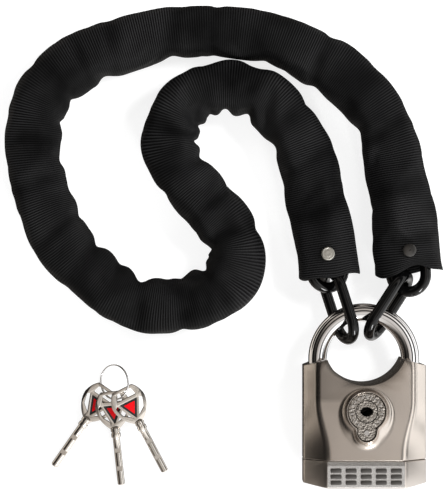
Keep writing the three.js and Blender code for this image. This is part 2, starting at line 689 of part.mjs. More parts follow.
// ---------- keys ----------
// Bow outline: flat top with cut corners, bulging sides, tapering to the collar.
function bowOutline(inset = 0) {
  const shape = new THREE.Shape();
  const w = BOW_HALF_WIDTH - inset;
  shape.moveTo(-w * 0.62, BOW_TOP + inset);
  shape.lineTo(w * 0.62, BOW_TOP + inset);
  shape.quadraticCurveTo(w * 0.96, BOW_TOP + 4, w, 4.5);
  shape.quadraticCurveTo(w * 0.9, 12, COLLAR_RADIUS, BOW_BOTTOM - inset);
  shape.lineTo(-COLLAR_RADIUS, BOW_BOTTOM - inset);
  shape.quadraticCurveTo(-w * 0.9, 12, -w, 4.5);
  shape.quadraticCurveTo(-w * 0.96, BOW_TOP + 4, -w * 0.62, BOW_TOP + inset);
  return shape;
}

function keySolid() {
  const half = BOW_THICKNESS / 2;
  let key = prism(bowOutline(), -half, half, 6);
  const { halfWidth, top, bottom } = WINDOW;
  key = key.subtract(prism(polygon([
    [-halfWidth, bottom], [-halfWidth + 0.6, top], [halfWidth - 0.6, top], [halfWidth, bottom],
  ]), -3, 3));
  const t = TRIANGLE;
  const recess = prism(polygon([
    [-t.halfWidth + t.rim, t.top + t.rim], [0, t.tip - 2 * t.rim], [t.halfWidth - t.rim, t.top + t.rim],
  ]), -0.1, 3);
  key = key.subtract(recess);
  for (const side of [-1, 1]) {
    key = key.subtract(prism(polygon([
      [side * 3, 11.6], [side * 7.4, 3.2], [side * 8.2, 5.4], [side * 6.6, 9.6],
    ]), -3, 3));
  }
  const collar = rodY(COLLAR_RADIUS, 0, 0, BOW_BOTTOM - 0.6, BOW_BOTTOM + 5, 12);
  let shank = rodY(SHANK_RADIUS, 0, 0, BOW_BOTTOM, KEY_LENGTH, 12);
  for (const [y, z] of [[28, 1], [33, -1], [38, 1], [42.5, -1]]) {
    const bite = z > 0 ? [1.3, 3] : [-3, -1.3];
    shank = shank.subtract(box(-3, 3, y - 1.1, y + 1.1, ...bite));
  }
  return key.add(collar).add(shank);
}

function keyInsert() {
  const t = TRIANGLE;
  const inset = t.rim + 0.45;
  return prism(polygon([
    [-t.halfWidth + inset + 0.25, t.top + inset], [0, t.tip - 2 * inset - 0.5],
    [t.halfWidth - inset - 0.25, t.top + inset],
  ]), 0.2, BOW_THICKNESS / 2 - 0.1);
}

for (const [word, round, heading, height] of KEYS) {
  const [angle, turn] = [flatAngle(round), flatAngle(heading)];
  const holder = new THREE.Group();
  const tip = Math.atan((height - SHANK_RADIUS - 0.15) / KEY_LENGTH);
  holder.position.set(
    RING_CENTRE[0] + KEY_REACH * Math.sin(angle), RING_CENTRE[1] - KEY_REACH * Math.cos(angle), height);
  holder.rotation.set(-tip, 0, Math.PI + turn, 'ZYX');
  keyring.add(holder);
  place(holder, `key_${word}`, keySolid(), SATIN_NICKEL);
  place(holder, `key_insert_${word}`, keyInsert(), RED_ENAMEL);
}

function splitRing() {
  const ring = new THREE.TorusGeometry(RING_RADIUS, RING_WIRE, 6, 28);
  ring.rotateY(-RING_SLOPE);
  return ring.translate(RING_CENTRE[0], RING_CENTRE[1], RING_HEIGHT);
}
place(keyring, 'key_ring', splitRing(), STEEL);

scene.position.set(CENTRE_SHIFT[0], CENTRE_SHIFT[1], 0);
export default scene;
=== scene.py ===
"""Looks of the chain lock: woven sleeve, black links, chrome shackle, satin padlock and keys."""

import math

import bmesh
import bpy
import numpy as np
from mathutils import Matrix, Vector, noise


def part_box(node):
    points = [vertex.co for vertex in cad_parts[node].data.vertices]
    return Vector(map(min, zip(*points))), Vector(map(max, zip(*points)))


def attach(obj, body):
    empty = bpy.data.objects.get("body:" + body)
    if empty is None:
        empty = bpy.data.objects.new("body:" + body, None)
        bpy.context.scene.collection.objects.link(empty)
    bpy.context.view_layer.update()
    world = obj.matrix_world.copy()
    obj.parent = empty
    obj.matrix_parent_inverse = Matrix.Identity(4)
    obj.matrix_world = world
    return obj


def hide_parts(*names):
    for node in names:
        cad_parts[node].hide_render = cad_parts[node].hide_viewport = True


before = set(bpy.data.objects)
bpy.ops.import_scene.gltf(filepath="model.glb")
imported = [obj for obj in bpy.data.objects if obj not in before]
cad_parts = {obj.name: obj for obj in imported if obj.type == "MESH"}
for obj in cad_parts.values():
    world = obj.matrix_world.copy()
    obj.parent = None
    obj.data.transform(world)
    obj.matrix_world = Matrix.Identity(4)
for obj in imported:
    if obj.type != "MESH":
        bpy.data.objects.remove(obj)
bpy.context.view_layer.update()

# ---------- driving dimensions, in millimetres unless they say otherwise ----------
MM = 0.001
SHIFT = np.array([-0.9, 1.7])  # from the drawing of the sleeve and the keys to the frame, in plan

# camera, straight above
VIEW_CENTRE = (-0.7, -2.1)
VIEW_HEIGHT = 270.0  # what the picture's long side covers at the height of the links
VIEW_LEVEL = 15.0  # the links' height
CAMERA_DISTANCE = 850.0
SENSOR_WIDTH = 36

# floor and light
FLOOR_HALF = 3000
FLOOR_DROP = 0.2
LIGHT_SIDE = (0.85, -0.5, 0.0)  # towards the bright end of the studio
EVEN_LIGHT = 0.42
WORLD_STRENGTH = 1.15

# sleeve: points of its route from the right mouth to the left one, as x, y and half its width there
ROUTE = [
    (101.8, -16.4, 18.6), (100.5, -5.2, 18.6), (99.2, 14, 17.8), (96.6, 34, 16.8), (93.4, 52, 16),
    (87.4, 68, 15.4), (77.5, 82.5, 15.4), (63.6, 94.8, 15.4), (45.5, 104.4, 15), (24, 112, 14.4),
    (-1, 115, 14), (-28, 113.8, 14.6), (-51, 109.2, 15.4), (-73, 101.4, 16), (-91, 89.6, 15.8),
    (-100.6, 74.6, 15.2), (-103.2, 56.4, 15.2), (-101.6, 37.4, 15.2), (-95.8, 17.6, 15.6),
    (-86.4, 0.4, 16), (-73, -15.2, 15.4), (-54.4, -29.6, 14.8), (-32.6, -35.4, 14.8),
    (-9.6, -32, 15.4), (5, -21.6, 15.6), (9.8, -5.6, 15.6), (2.4, 11, 15.2), (-14.4, 28, 15),
    (-25.6, 43, 15), (-29, 58, 15), (-23.8, 73, 14.8), (-11, 82.6, 14.3), (5, 85.2, 14.3),
    (21, 81.2, 14.8), (33.6, 70.6, 15), (42.6, 55.6, 15.6), (48.8, 37, 16.2), (53, 18, 16.6),
    (56.8, -4, 16.8), (58.7, -18.2, 16.8),
]
SLEEVE_HEIGHT = 13.5  # half its height, and so how high its middle lies
MOUTH_HEIGHT = 11.15  # half its height at a mouth
MOUTH_BLEND = 34  # how far from a mouth the section has its full height again
MOUTH_WAVE_REACH = 12
LOWEST = 0.05  # of the fabric above the ground
HOLLOW_SPACING = 27
HOLLOW_DEPTH = 2.2
SLEEVE_WALL = 0.9
RINGS = 300
AROUND = 44
RIB_PITCH = 1.25
THREAD_PITCH = 0.8
FABRIC_RADIUS = 15  # of the tube as its weave is laid out
FABRIC_EASE = 1.05  # slack of the woven tube round its section
FABRIC_SPARE = 0.8  # spare length round a bend, as a share of what its outside would need
HIDDEN_LINKS = [f"chain_link_{i:02d}" for i in range(1, 26)]

# cloth simulation of the sleeve, run at a larger scale
SIM_SCALE = 10
CLOTH_FRAMES = 24
CLOTH_CAP = 5.0  # the most that a point may move
PINNED_REACH = 4.0  # round a rivet
PINNED_EDGE = 1.5  # along a mouth
GROUND_HALF = 2500
# where the fabric folds in: x, y, depth, reach along the sleeve
CREASES = [
    (-65.6, 90.7, 3.2, 5), (-82.8, 78.2, 3.4, 5), (-86.7, 64.9, 1.6, 4), (-87.6, 45.1, 1.2, 5),
    (-84.5, 29.3, 2.6, 5), (-65.6, -0.7, 2.6, 4), (-57.6, -14.6, 2.6, 4), (-43.1, -22.6, 3.4, 6),
    (-19.1, -23.2, 3.4, 5), (-6.6, -16.6, 3.0, 5), (-6.6, -4.2, 3.4, 5), (-10.6, 46.2, 1.6, 4),
    (-16.5, 55, 3.2, 3.4), (-15.7, 67.1, 3.2, 4), (-8.7, 71.8, 2.4, 3.4), (2.4, 74.4, 4.2, 4),
    (15.5, 71.5, 3.4, 5), (29.7, 51.9, 1.8, 5), (52.3, 86.2, 2.0, 6), (74.7, 60.8, 2.0, 7),
    (-27, 101, 1.6, 5), (17, 97, 1.6, 5),
]

# padlock, about the centre of the shackle's arc
BODY_HALF_WIDTH = 33
BODY_THICKNESS = 30
FRONT_HALF_WIDTH = 26
WAIST_HALF_WIDTH = 20.5
WAIST_TOP = -21
WAIST_BOTTOM = -50
SIDE_BAND = 6
EAR_TOP = 0.9
SHOULDER_DROP = 3.8
SEAM = -53.2
BOTTOM = -67.9
CORNER_RISE = 3.3
NOTCH_RADIUS = 22.2
NOTCH_CENTRE = 8.9
MID = BODY_THICKNESS / 2
SHACKLE_ROD = 5
SHACKLE_RADIUS = 25
HEEL_END = -40
TOE_END = -31
SHACKLE_TRAVEL = 32
BORE_RADIUS = 5.5
HEEL_BORE_END = -48
TOE_BORE_END = -32.5
SEAL_Y = -8
SEAL_HALF = 1.1
SEAL_GROOVE = 7.2
CAVITY = 17
CAVITY_TOP = -40.5
CAVITY_BACK = 3.5
CAP_CAVITY_FRONT = 24
SCREW_X = 21
SCREW_Z = 6.5
SCREW_TOP = -42
SCREW_HOLE = 1.5
SCREW_HEAD_HOLE = 2.9
CYLINDER_CENTRE = -26.7
ROUND_RADIUS = 9.85
LOBE_RADIUS = 4.9
LOBE_OFFSET = 10.7
BOSS_HEIGHT = 4.2
BOSS_REACH = 15.6
BOSS_ABOVE = 15
BOSS_BELOW = 19.5
HOUSING_FLOOR = 21
PLUG_RADIUS = 5.8
PLUG_FLOOR = 4.5
KEYHOLE = (7, 5.2)
CAM_LONG = 11
CAM_HALF_HEIGHT = 3.6
BOLT_OUTER = 22.6
BOLT_HALF = 3.4
BOLT_TRAVEL = 3
GAP = 0.3
PLATE_DEPTH = 1
PLATE_SLOPE = 2.0
METER_COLUMNS = 5
METER_ROWS = 3
METER_STEP = (8, 3.2)
METER_BAR = (2.9, 1.15)  # half its width and height
STROKES = 22
STROKE_RADIUS = 7.9
STROKE_HALF_WIDTH = 0.34

# chain
WIRE = 2.95
LINK_HALF_WIDTH = 9.5
LINK_HALF_LENGTH = 18.8

# rivets
RIVET_INSET = 12.6
RIVET_HEAD = 3.6
RIVET_SHANK = 1.7

# keys, in their own frame: origin where the ring passes, +Y towards the tip
KEY_LENGTH = 47.4
BOW_HALF_WIDTH = 9.6
BOW_THICKNESS = 1.8
BOW_TOP = -4.4
BOW_BOTTOM = 16
WINDOW = [(-5.6, 1.3), (-4.7, -2.9), (4.7, -2.9), (5.6, 1.3)]
RECESS = [(-5.2, 3.1), (0, 13.4), (5.2, 3.1)]
INSERT = [(-3.3, 4.4), (0, 11.0), (3.3, 4.4)]
SHANK_RADIUS = 2
COLLAR_RADIUS = 2.6
NECK_RADIUS = 2.2
BITES = [(28, 1), (33, -1), (38, 1), (42.5, -1)]  # place along the shank, and on which face of it
BITE_FLOOR = 1.2
BITE_HALF = 1.2
RING_CENTRE = (-58.2, -75.9)
RING_RADIUS = 9.4
RING_WIRE = 0.65
# name, place round the ring and heading (degrees from -Y towards +X), height of the bow above the ground
KEYS = [("left", -40, -35, 3.4), ("middle", -8, 6, 6.1), ("right", 40, 27, 8.8)]
KEY_REACH = 9.6


# ---------- meshes ----------
def make(name, points, faces, uvs=None):
    """A mesh object from points in millimetres. uvs holds one pair for each corner of each face."""
    mesh = bpy.data.meshes.new(name)
    mesh.from_pydata([tuple(c * MM for c in p) for p in points], [], faces)
    if uvs is not None:
        layer = mesh.uv_layers.new(name="UVMap")
        layer.data.foreach_set("uv", np.asarray(uvs, dtype=np.float32).ravel())
    mesh.validate()
    obj = bpy.data.objects.new(name, mesh)
    bpy.context.scene.collection.objects.link(obj)
    return obj


def face_outwards(obj):
    bm = bmesh.new()
    bm.from_mesh(obj.data)
    bmesh.ops.recalc_face_normals(bm, faces=bm.faces)
    if bm.calc_volume(signed=True) < 0:
        bmesh.ops.reverse_faces(bm, faces=bm.faces)
    bm.to_mesh(obj.data)
    bm.free()


def loft(name, rings, closed=False):
    """Skin through rings of equal count; open ends are capped."""
    count = len(rings[0])
    points = [p for ring in rings for p in ring]
    faces = []
    for i in range(len(rings) if closed else len(rings) - 1):
        a, b = i * count, (i + 1) % len(rings) * count
        for j in range(count):
            k = (j + 1) % count
            faces.append((a + j, a + k, b + k, b + j))
    if not closed:
        last = (len(rings) - 1) * count
        faces.append(tuple(reversed(range(count))))
        faces.append(tuple(last + j for j in range(count)))
    obj = make(name, points, faces)
    face_outwards(obj)
    return obj


def apply_modifiers(obj):
    bpy.context.view_layer.update()
    graph = bpy.context.evaluated_depsgraph_get()
    mesh = bpy.data.meshes.new_from_object(obj.evaluated_get(graph))
    obj.modifiers.clear()
    obj.data = mesh


def boolean(obj, tool, operation):
    modifier = obj.modifiers.new("boolean", "BOOLEAN")
    modifier.object = tool
    modifier.operation = operation
    modifier.solver = "EXACT"
    apply_modifiers(obj)
    bpy.data.objects.remove(tool)


def cut(obj, *tools):
    for tool in tools:
        boolean(obj, tool, "DIFFERENCE")


def bevel(obj, width, segments, angle):
    modifier = obj.modifiers.new("edges", "BEVEL")
    modifier.width = width * MM
    modifier.segments = segments
    modifier.limit_method = "ANGLE"
    modifier.angle_limit = math.radians(angle)
    modifier.use_clamp_overlap = True
    apply_modifiers(obj)


def shade(obj, angle=32):
    """Smooth shading that breaks at edges sharper than angle."""
    bm = bmesh.new()
    bm.from_mesh(obj.data)
    for face in bm.faces:
        face.smooth = True
    for edge in bm.edges:
        edge.smooth = len(edge.link_faces) == 2 and edge.calc_face_angle(0) < math.radians(angle)
    bm.to_mesh(obj.data)
    bm.free()


def stack(name, levels):
    """Skin through flat outlines, each with its height."""
    return loft(name, [[(x, y, z) for x, y in outline] for outline, z in levels])


def stack_y(name, levels):
    """The same with outlines in x and z, each with its y."""
    return loft(name, [[(x, y, z) for x, z in outline] for outline, y in levels])


def prism(name, outline, z0, z1):
    return stack(name, [(outline, z0), (outline, z1)])


def box(name, x0, x1, y0, y1, z0, z1):
    (x0, x1), (y0, y1), (z0, z1) = sorted((x0, x1)), sorted((y0, y1)), sorted((z0, z1))
    return prism(name, [(x0, y0), (x1, y0), (x1, y1), (x0, y1)], z0, z1)


def circle(radius, x=0.0, y=0.0, sides=64):
    turn = 2 * math.pi / sides
    return [(x + radius * math.cos(i * turn), y + radius * math.sin(i * turn)) for i in range(sides)]


def rod_y(name, radius, x, z, y0, y1, sides=32):
    ring = circle(radius, x, z, sides)
    return stack_y(name, [(ring, y0), (ring, y1)])


def arc(centre, radius, first, second, angles):
    """Points of an arc in the plane of two axes, and the directions from its centre to them."""
    outwards = [math.cos(a) * first + math.sin(a) * second for a in angles]
    return [centre + radius * outward for outward in outwards], outwards


def sweep(name, centres, outwards, radius, sides, closed=False):
    """Round wire along points of a curve in the plane of outwards and the third direction."""
    rings = []
    count = len(centres)
    for i, (centre, outward) in enumerate(zip(centres, outwards)):
        before = centres[i - 1] if closed or i else centre
        after = centres[(i + 1) % count] if closed or i < count - 1 else centre
        along = np.subtract(after, before)
        side = np.cross(along / np.linalg.norm(along), outward)
        ring = []
        for j in range(sides):
            a = 2 * math.pi * j / sides
            ring.append(centre + radius * (math.cos(a) * np.asarray(outward) + math.sin(a) * side))
        rings.append(ring)
    return loft(name, rings, closed)


def shift_mesh(obj, offset):
    obj.data.transform(Matrix.Translation(Vector(offset) * MM))


def join(obj, *others):
    bm = bmesh.new()
    for each in (obj, *others):
        bm.from_mesh(each.data)
    bm.to_mesh(obj.data)
    bm.free()
    for other in others:
        bpy.data.objects.remove(other)


def smooth_step(t):
    t = min(max(t, 0.0), 1.0)
    return t * t * (3 - 2 * t)


def node_points(name):
    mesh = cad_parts[name].data
    points = np.empty(len(mesh.vertices) * 3)
    mesh.vertices.foreach_get("co", points)
    return points.reshape(-1, 3) / MM


def node_centre(name):
    low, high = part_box(name)
    return (np.array(low) + np.array(high)) / 2 / MM


def spread_axes(points):
    """Centre of a cloud of points, and its three axes from the shortest to the longest."""
    centre = points.mean(axis=0)
    _, axes = np.linalg.eigh(np.cov((points - centre).T))
    return centre, axes.T


PLUG = node_centre("cylinder_plug")
LOCK = np.array([PLUG[0], PLUG[1] - CYLINDER_CENTRE, 0.0])


# ---------- materials ----------
class Tree:
    """A node tree with short calls to add and wire nodes."""

    def __init__(self, tree):
        self.tree = tree

    def wire(self, value, socket):
        if isinstance(value, bpy.types.NodeSocket):
            self.tree.links.new(value, socket)
        else:
            socket.default_value = value

    def add(self, kind, links=None, **values):
        node = self.tree.nodes.new(kind)
        for key, value in values.items():
            setattr(node, key, value)
        for socket, value in (links or {}).items():
            self.wire(value, node.inputs[socket])
        return node

    def math(self, operation, a, b=0.0):
        return self.add("ShaderNodeMath", {0: a, 1: b}, operation=operation).outputs[0]

    def scale(self, vector, factor):
        return self.add("ShaderNodeVectorMath", {0: vector, "Scale": factor}, operation="SCALE").outputs[0]

    def coordinates(self, output="Object"):
        return self.add("ShaderNodeTexCoord").outputs[output]

    def axes(self, vector):
        return self.add("ShaderNodeSeparateXYZ", {0: vector}).outputs

    def between(self, value, start, end, low=0.0, high=1.0):
        """Low up to start, high from end on, and straight between."""
        return self.add("ShaderNodeMapRange", {
            "Value": value, "From Min": start, "From Max": end, "To Min": low, "To Max": high}).outputs[0]

    def spread(self, factor, low, high):
        return self.between(factor, 0.0, 1.0, low, high)

    def ramp(self, factor, stops):
        node = self.add("ShaderNodeValToRGB", {"Fac": factor})
        elements = node.color_ramp.elements
        while len(elements) < len(stops):
            elements.new(0.5)
        for element, (place, color) in zip(elements, stops):
            element.position = place
            element.color = (*color, 1)
        return node.outputs[0]


class Nodes(Tree):
    """The tree of a new material."""

    def __init__(self, name, color, roughness, metallic=0.0):
        self.material = bpy.data.materials.new(name)
        self.material.use_nodes = True
        super().__init__(self.material.node_tree)
        self.shader = self.tree.nodes["Principled BSDF"]
        self.set("Base Color", (*color, 1))
        self.set("Roughness", roughness)
        self.set("Metallic", metallic)
        self.material.diffuse_color = (*color, 1)

    def set(self, socket, value):
        self.wire(value, self.shader.inputs[socket])

    def noise(self, scale, detail=2.0, stretch=None):
        vector = self.coordinates()
        if stretch:
            vector = self.add("ShaderNodeMapping", {"Vector": vector, "Scale": stretch}).outputs[0]
        return self.add("ShaderNodeTexNoise", {"Vector": vector, "Scale": scale, "Detail": detail}).outputs[0]

    def bump(self, height, distance, strength=1.0):
        node = self.add("ShaderNodeBump", {"Height": height, "Distance": distance * MM, "Strength": strength})
        self.set("Normal", node.outputs[0])


def tint(color, amount):
    return tuple(min(1.0, c * amount) for c in color)


def metal(name, color, roughness, grain=(1, 1, 1), grain_scale=900, depth=0.01, spread=0.05, painted_shade=False):
    """Metal with fine grain in its roughness and relief and slow variation in its colour, and, when asked,
    painted shade and light across the padlock's body.
    """
    nodes = Nodes(name, color, roughness, 1.0)
    grains = nodes.noise(grain_scale, 3, grain)
    slow = nodes.noise(45, 2)
    nodes.set("Roughness", nodes.spread(grains, roughness - spread, roughness + spread))
    varied = nodes.ramp(slow, [(0.3, tint(color, 0.93)), (0.7, tint(color, 1.05))])
    nodes.set("Base Color", nodes.scale(varied, painted_front_shade(nodes)) if painted_shade else varied)
    nodes.bump(grains, depth)
    return nodes.material


def painted_front_shade(nodes):
    """Painted shade and light over the padlock's body: a factor that darkens it to the left and lightens it
    to the right, and darkens the front face more above the waist, to the left.
    """
    x, y, z = nodes.axes(nodes.coordinates())
    left, waist, front = (LOCK[0] - FRONT_HALF_WIDTH) * MM, (LOCK[1] + WAIST_TOP) * MM, BODY_THICKNESS * MM
    across = nodes.between(x, left, (LOCK[0] + FRONT_HALF_WIDTH) * MM, 0.84, 1.12)
    above = nodes.between(y, waist - 1.5 * MM, waist + MM, 0.0, 0.34)
    leftward = nodes.between(x, left, (LOCK[0] + 8) * MM, 1.0, 0.0)
    in_front = nodes.between(z, front - 2 * MM, front - 0.5 * MM)
    darker = nodes.math("MULTIPLY", nodes.math("MULTIPLY", above, leftward), in_front)
    return nodes.math("SUBTRACT", across, darker)


def dull(name, color, roughness, scale=600, depth=0.02, coat=0.0, level=0.5):
    """Plastic, rubber or paint with a fine moulded or sprayed texture."""
    nodes = Nodes(name, color, roughness)
    grains = nodes.noise(scale, 3)
    nodes.set("Roughness", nodes.spread(grains, roughness - 0.06, roughness + 0.06))
    nodes.set("Base Color", nodes.ramp(nodes.noise(80), [(0.3, tint(color, 0.85)), (0.7, tint(color, 1.12))]))
    nodes.set("Specular IOR Level", level)
    nodes.set("Coat Weight", coat)
    nodes.set("Coat Roughness", 0.05)
    nodes.bump(grains, depth)
    return nodes.material


def woven_material():
    """Ribs across the sleeve and a finer weave between them, with painted shade in the grooves of the weave
    and in the hollows between the links, over slow random patches of darker and lighter colour.
    """
    nodes = Nodes("ribbed_nylon", (0.012, 0.012, 0.013), 0.62)
    u, v, _ = nodes.axes(nodes.coordinates("UV"))
    wobble = nodes.spread(nodes.noise(60), -0.5, 0.5)
    along = nodes.math("ADD", nodes.math("MULTIPLY", u, 2 * math.pi / (RIB_PITCH * MM)), wobble)
    rib = nodes.between(nodes.math("SINE", along), -1.0, 1.0)
    thread = nodes.math("SINE", nodes.math("MULTIPLY", v, 2 * math.pi / (THREAD_PITCH * MM)))
    height = nodes.math("ADD", rib, nodes.math("MULTIPLY", thread, 0.16))
    patch = nodes.between(nodes.noise(24, 3), 0.36, 0.64)
    weave = nodes.math("MULTIPLY", nodes.math("POWER", rib, 2.0), nodes.spread(thread, 0.8, 1.0))
    sunk = nodes.add("ShaderNodeAttribute", attribute_name="hollow").outputs["Fac"]
    # Painted shade: the colour darkens down into the hollows between the links, over slow random patches.
    lit = nodes.math("MULTIPLY", nodes.spread(patch, 0.25, 1.0), nodes.spread(sunk, 1.0, 0.1))
    tone_and_painted_shade = nodes.math("MULTIPLY", weave, lit)
    # Painted shade in the grooves: the base colour is darkest between the ribs and threads and lightest on
    # their crests.
    nodes.set("Base Color", nodes.ramp(tone_and_painted_shade, [(0.0, (0.001, 0.001, 0.0011)), (1.0, (0.021, 0.021, 0.0215))]))
    nodes.set("Roughness", nodes.spread(lit, 0.8, 0.5))
    nodes.set("Specular IOR Level", 0.1)
    nodes.bump(height, 0.16, 0.9)
    return nodes.material


def stippled_material(name, color):
    nodes = Nodes(name, color, 0.42, 1.0)
    speck = nodes.noise(2600, 2)
    nodes.set("Base Color", nodes.ramp(speck, [(0.35, tint(color, 0.62)), (0.6, color)]))
    nodes.set("Roughness", nodes.spread(speck, 0.35, 0.6))
    nodes.bump(speck, 0.08)
    return nodes.material


def engraved_material(name, color):
    """Coined metal: a random relief of fine strokes, with painted shade that darkens the pits of the relief.
    """
    nodes = Nodes(name, color, 0.34, 1.0)
    cell = nodes.add("ShaderNodeTexVoronoi", {"Vector": nodes.coordinates(), "Scale": 1000.0}).outputs[0]
    # Painted shade: the colour darkens where the relief is low.
    nodes.set("Base Color", nodes.ramp(cell, [(0.15, tint(color, 0.35)), (0.55, color)]))
    nodes.set("Roughness", nodes.spread(cell, 0.28, 0.5))
    nodes.bump(cell, 0.3)
    return nodes.material


MATERIALS = {
    # The body's colour carries painted shade and light: darker to the left, lighter to the right.
    "body": metal("satin_nickel", (0.62, 0.565, 0.515), 0.24, (1, 14, 1), 700, 0.006, painted_shade=True),
    "cap": metal("satin_nickel_cap", (0.64, 0.59, 0.545), 0.32, (1, 14, 1), 700, 0.006),
    "chrome": metal("polished_chrome", (0.86, 0.86, 0.87), 0.05, (1, 1, 1), 300, 0.002, 0.02),
    "link": dull("gloss_black_coat", (0.0015, 0.0015, 0.0016), 0.16, 500, 0.006, coat=0.55, level=0.08),
    "steel": metal("bright_steel", (0.66, 0.65, 0.64), 0.28),
    "key": metal("key_nickel", (0.74, 0.70, 0.65), 0.15, (1, 1, 1), 900, 0.006),
    "gunmetal": metal("gunmetal", (0.11, 0.108, 0.105), 0.30, (1, 1, 1), 1200, 0.02),
    "rivet": metal("satin_rivet", (0.66, 0.65, 0.6), 0.4, (1, 1, 1), 1200, 0.02),
    "brass": metal("brass", (0.62, 0.42, 0.17), 0.32),
    "rubber": dull("black_rubber", (0.015, 0.015, 0.015), 0.8),
    "plastic": dull("black_plastic", (0.02, 0.02, 0.021), 0.45),
    "board": dull("green_board", (0.02, 0.12, 0.05), 0.4, 1200, 0.03),
    "red": dull("red_enamel", (0.66, 0.002, 0.006), 0.3, 900, 0.008, coat=0.2, level=0.1),
    "dark": metal("dark_bars", (0.14, 0.135, 0.13), 0.45, (1, 1, 1), 2500, 0.03),
    "plate": stippled_material("stippled_plate", (0.8, 0.79, 0.78)),
    "engraved": engraved_material("coined_nickel", (0.46, 0.425, 0.385)),
    "fabric": woven_material(),
}


def finish_piece(obj, material, body, slot, *nodes):
    """Gives a piece its material and body, and hides the CAD nodes that it stands for; slot is not used."""
    obj.data.materials.clear()
    obj.data.materials.append(MATERIALS[material])
    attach(obj, body)
    if nodes:
        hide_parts(*nodes)


# ---------- camera, floor and light ----------
def camera():
    data = bpy.data.cameras.new("camera")
    obj = bpy.data.objects.new("camera", data)
    bpy.context.scene.collection.objects.link(obj)
    data.sensor_width = SENSOR_WIDTH
    data.lens = SENSOR_WIDTH * CAMERA_DISTANCE / VIEW_HEIGHT
    data.clip_start, data.clip_end = 0.05, 10
    obj.location = (VIEW_CENTRE[0] * MM, VIEW_CENTRE[1] * MM, (VIEW_LEVEL + CAMERA_DISTANCE) * MM)
    bpy.context.scene.camera = obj


def square(name, half, z):
    corners = [(-half, -half, z), (half, -half, z), (half, half, z), (-half, half, z)]
    return make(name, corners, [(0, 1, 2, 3)])


def floor():
    obj = square("floor", FLOOR_HALF, -FLOOR_DROP)
    nodes = Nodes("pale_floor", (0.3, 0.3, 0.3), 0.9)
    nodes.set("Emission Color", (1, 1, 1, 1))
    nodes.set("Emission Strength", 0.8)
    obj.data.materials.append(nodes.material)
    obj.visible_glossy = False


def area_light(name, place, target, size, power):
    data = bpy.data.lights.new(name, "AREA")
    data.shape = "RECTANGLE"
    data.size, data.size_y = size
    data.energy = power
    obj = bpy.data.objects.new(name, data)
    bpy.context.scene.collection.objects.link(obj)
    obj.location = place
    obj.rotation_euler = (Vector(target) - Vector(place)).to_track_quat("-Z", "Y").to_euler()
    return obj


def grey(value):
    return (value, value, value)


def studio_gloss(world):
    """What gloss reflects: bright to the right, dim to the upper left, and dark rings at even heights."""
    direction = world.coordinates("Generated")
    x, y, z = world.axes(direction)
    lean = world.add(
        "ShaderNodeVectorMath", {0: direction, 1: LIGHT_SIDE}, operation="DOT_PRODUCT").outputs[1]
    sideways = world.ramp(world.between(lean, -1.0, 1.0), [
        (0.0, (0.80, 0.73, 0.65)), (0.12, (0.78, 0.71, 0.63)), (0.2, (0.30, 0.265, 0.235)),
        (0.42, (0.36, 0.325, 0.295)), (0.52, (0.56, 0.52, 0.485)), (0.66, (0.8, 0.77, 0.74)),
        (0.82, (1.18, 1.16, 1.14)), (1.0, grey(1.22))])
    rings = world.ramp(world.between(z, -1.0, 1.0), [(place, grey(value)) for place, value in (
        (0.0, 0.1), (0.2, 0.12), (0.26, 1.0), (0.43, 1.0), (0.445, 0.06), (0.48, 0.06), (0.495, 1.0),
        (0.62, 1.0), (0.64, 0.05), (0.79, 0.05), (0.81, 1.25), (0.905, 1.25), (0.92, 0.05), (0.975, 0.05),
        (0.98, 1.0))])
    has_rings = world.between(y, -0.45, -0.15)
    both = world.add("ShaderNodeMix", {0: has_rings, 6: sideways, 7: rings}, data_type="RGBA",
                     blend_type="MULTIPLY").outputs[2]
    to_left = world.between(x, -0.28, -0.62)
    fall = world.between(z, 0.05, 0.34, 1.0, 0.06)
    dim = world.add("ShaderNodeMix", {"Factor": to_left, 2: 1.0, 3: fall}).outputs[0]
    return world.scale(both, dim)


def studio_world():
    """Even light for matt surfaces, white for the camera, and a studio for gloss."""
    scene_world = bpy.data.worlds.new("studio")
    bpy.context.scene.world = scene_world
    scene_world.use_nodes = True
    world = Tree(scene_world.node_tree)
    rays = world.add("ShaderNodeLightPath").outputs
    even = world.add("ShaderNodeMix", {
        0: rays["Is Camera Ray"], 6: (*grey(EVEN_LIGHT), 1), 7: (1, 1, 1, 1)}, data_type="RGBA").outputs[2]
    color = world.add("ShaderNodeMix", {
        0: rays["Is Glossy Ray"], 6: even, 7: studio_gloss(world)}, data_type="RGBA").outputs[2]
    background = world.tree.nodes["Background"]
    world.wire(color, background.inputs[0])
    world.wire(WORLD_STRENGTH, background.inputs[1])


def lights():
    """Three soft lamps, placed in metres; only the strip shows in gloss."""
    key = area_light("key_light", (0.75, 0.35, 0.75), (0, 0, 0), (0.35, 0.35), 19)
    fill = area_light("left_light", (-0.8, 0.7, 0.6), (0, 0, 0), (0.3, 0.5), 6)
    key.visible_glossy = fill.visible_glossy = False
    area_light("strip_light", (0.42, -0.98, 0.56), (0.07, -0.07, 0), (0.16, 0.45), 6.5)
    bpy.context.scene.view_settings.view_transform = "Standard"


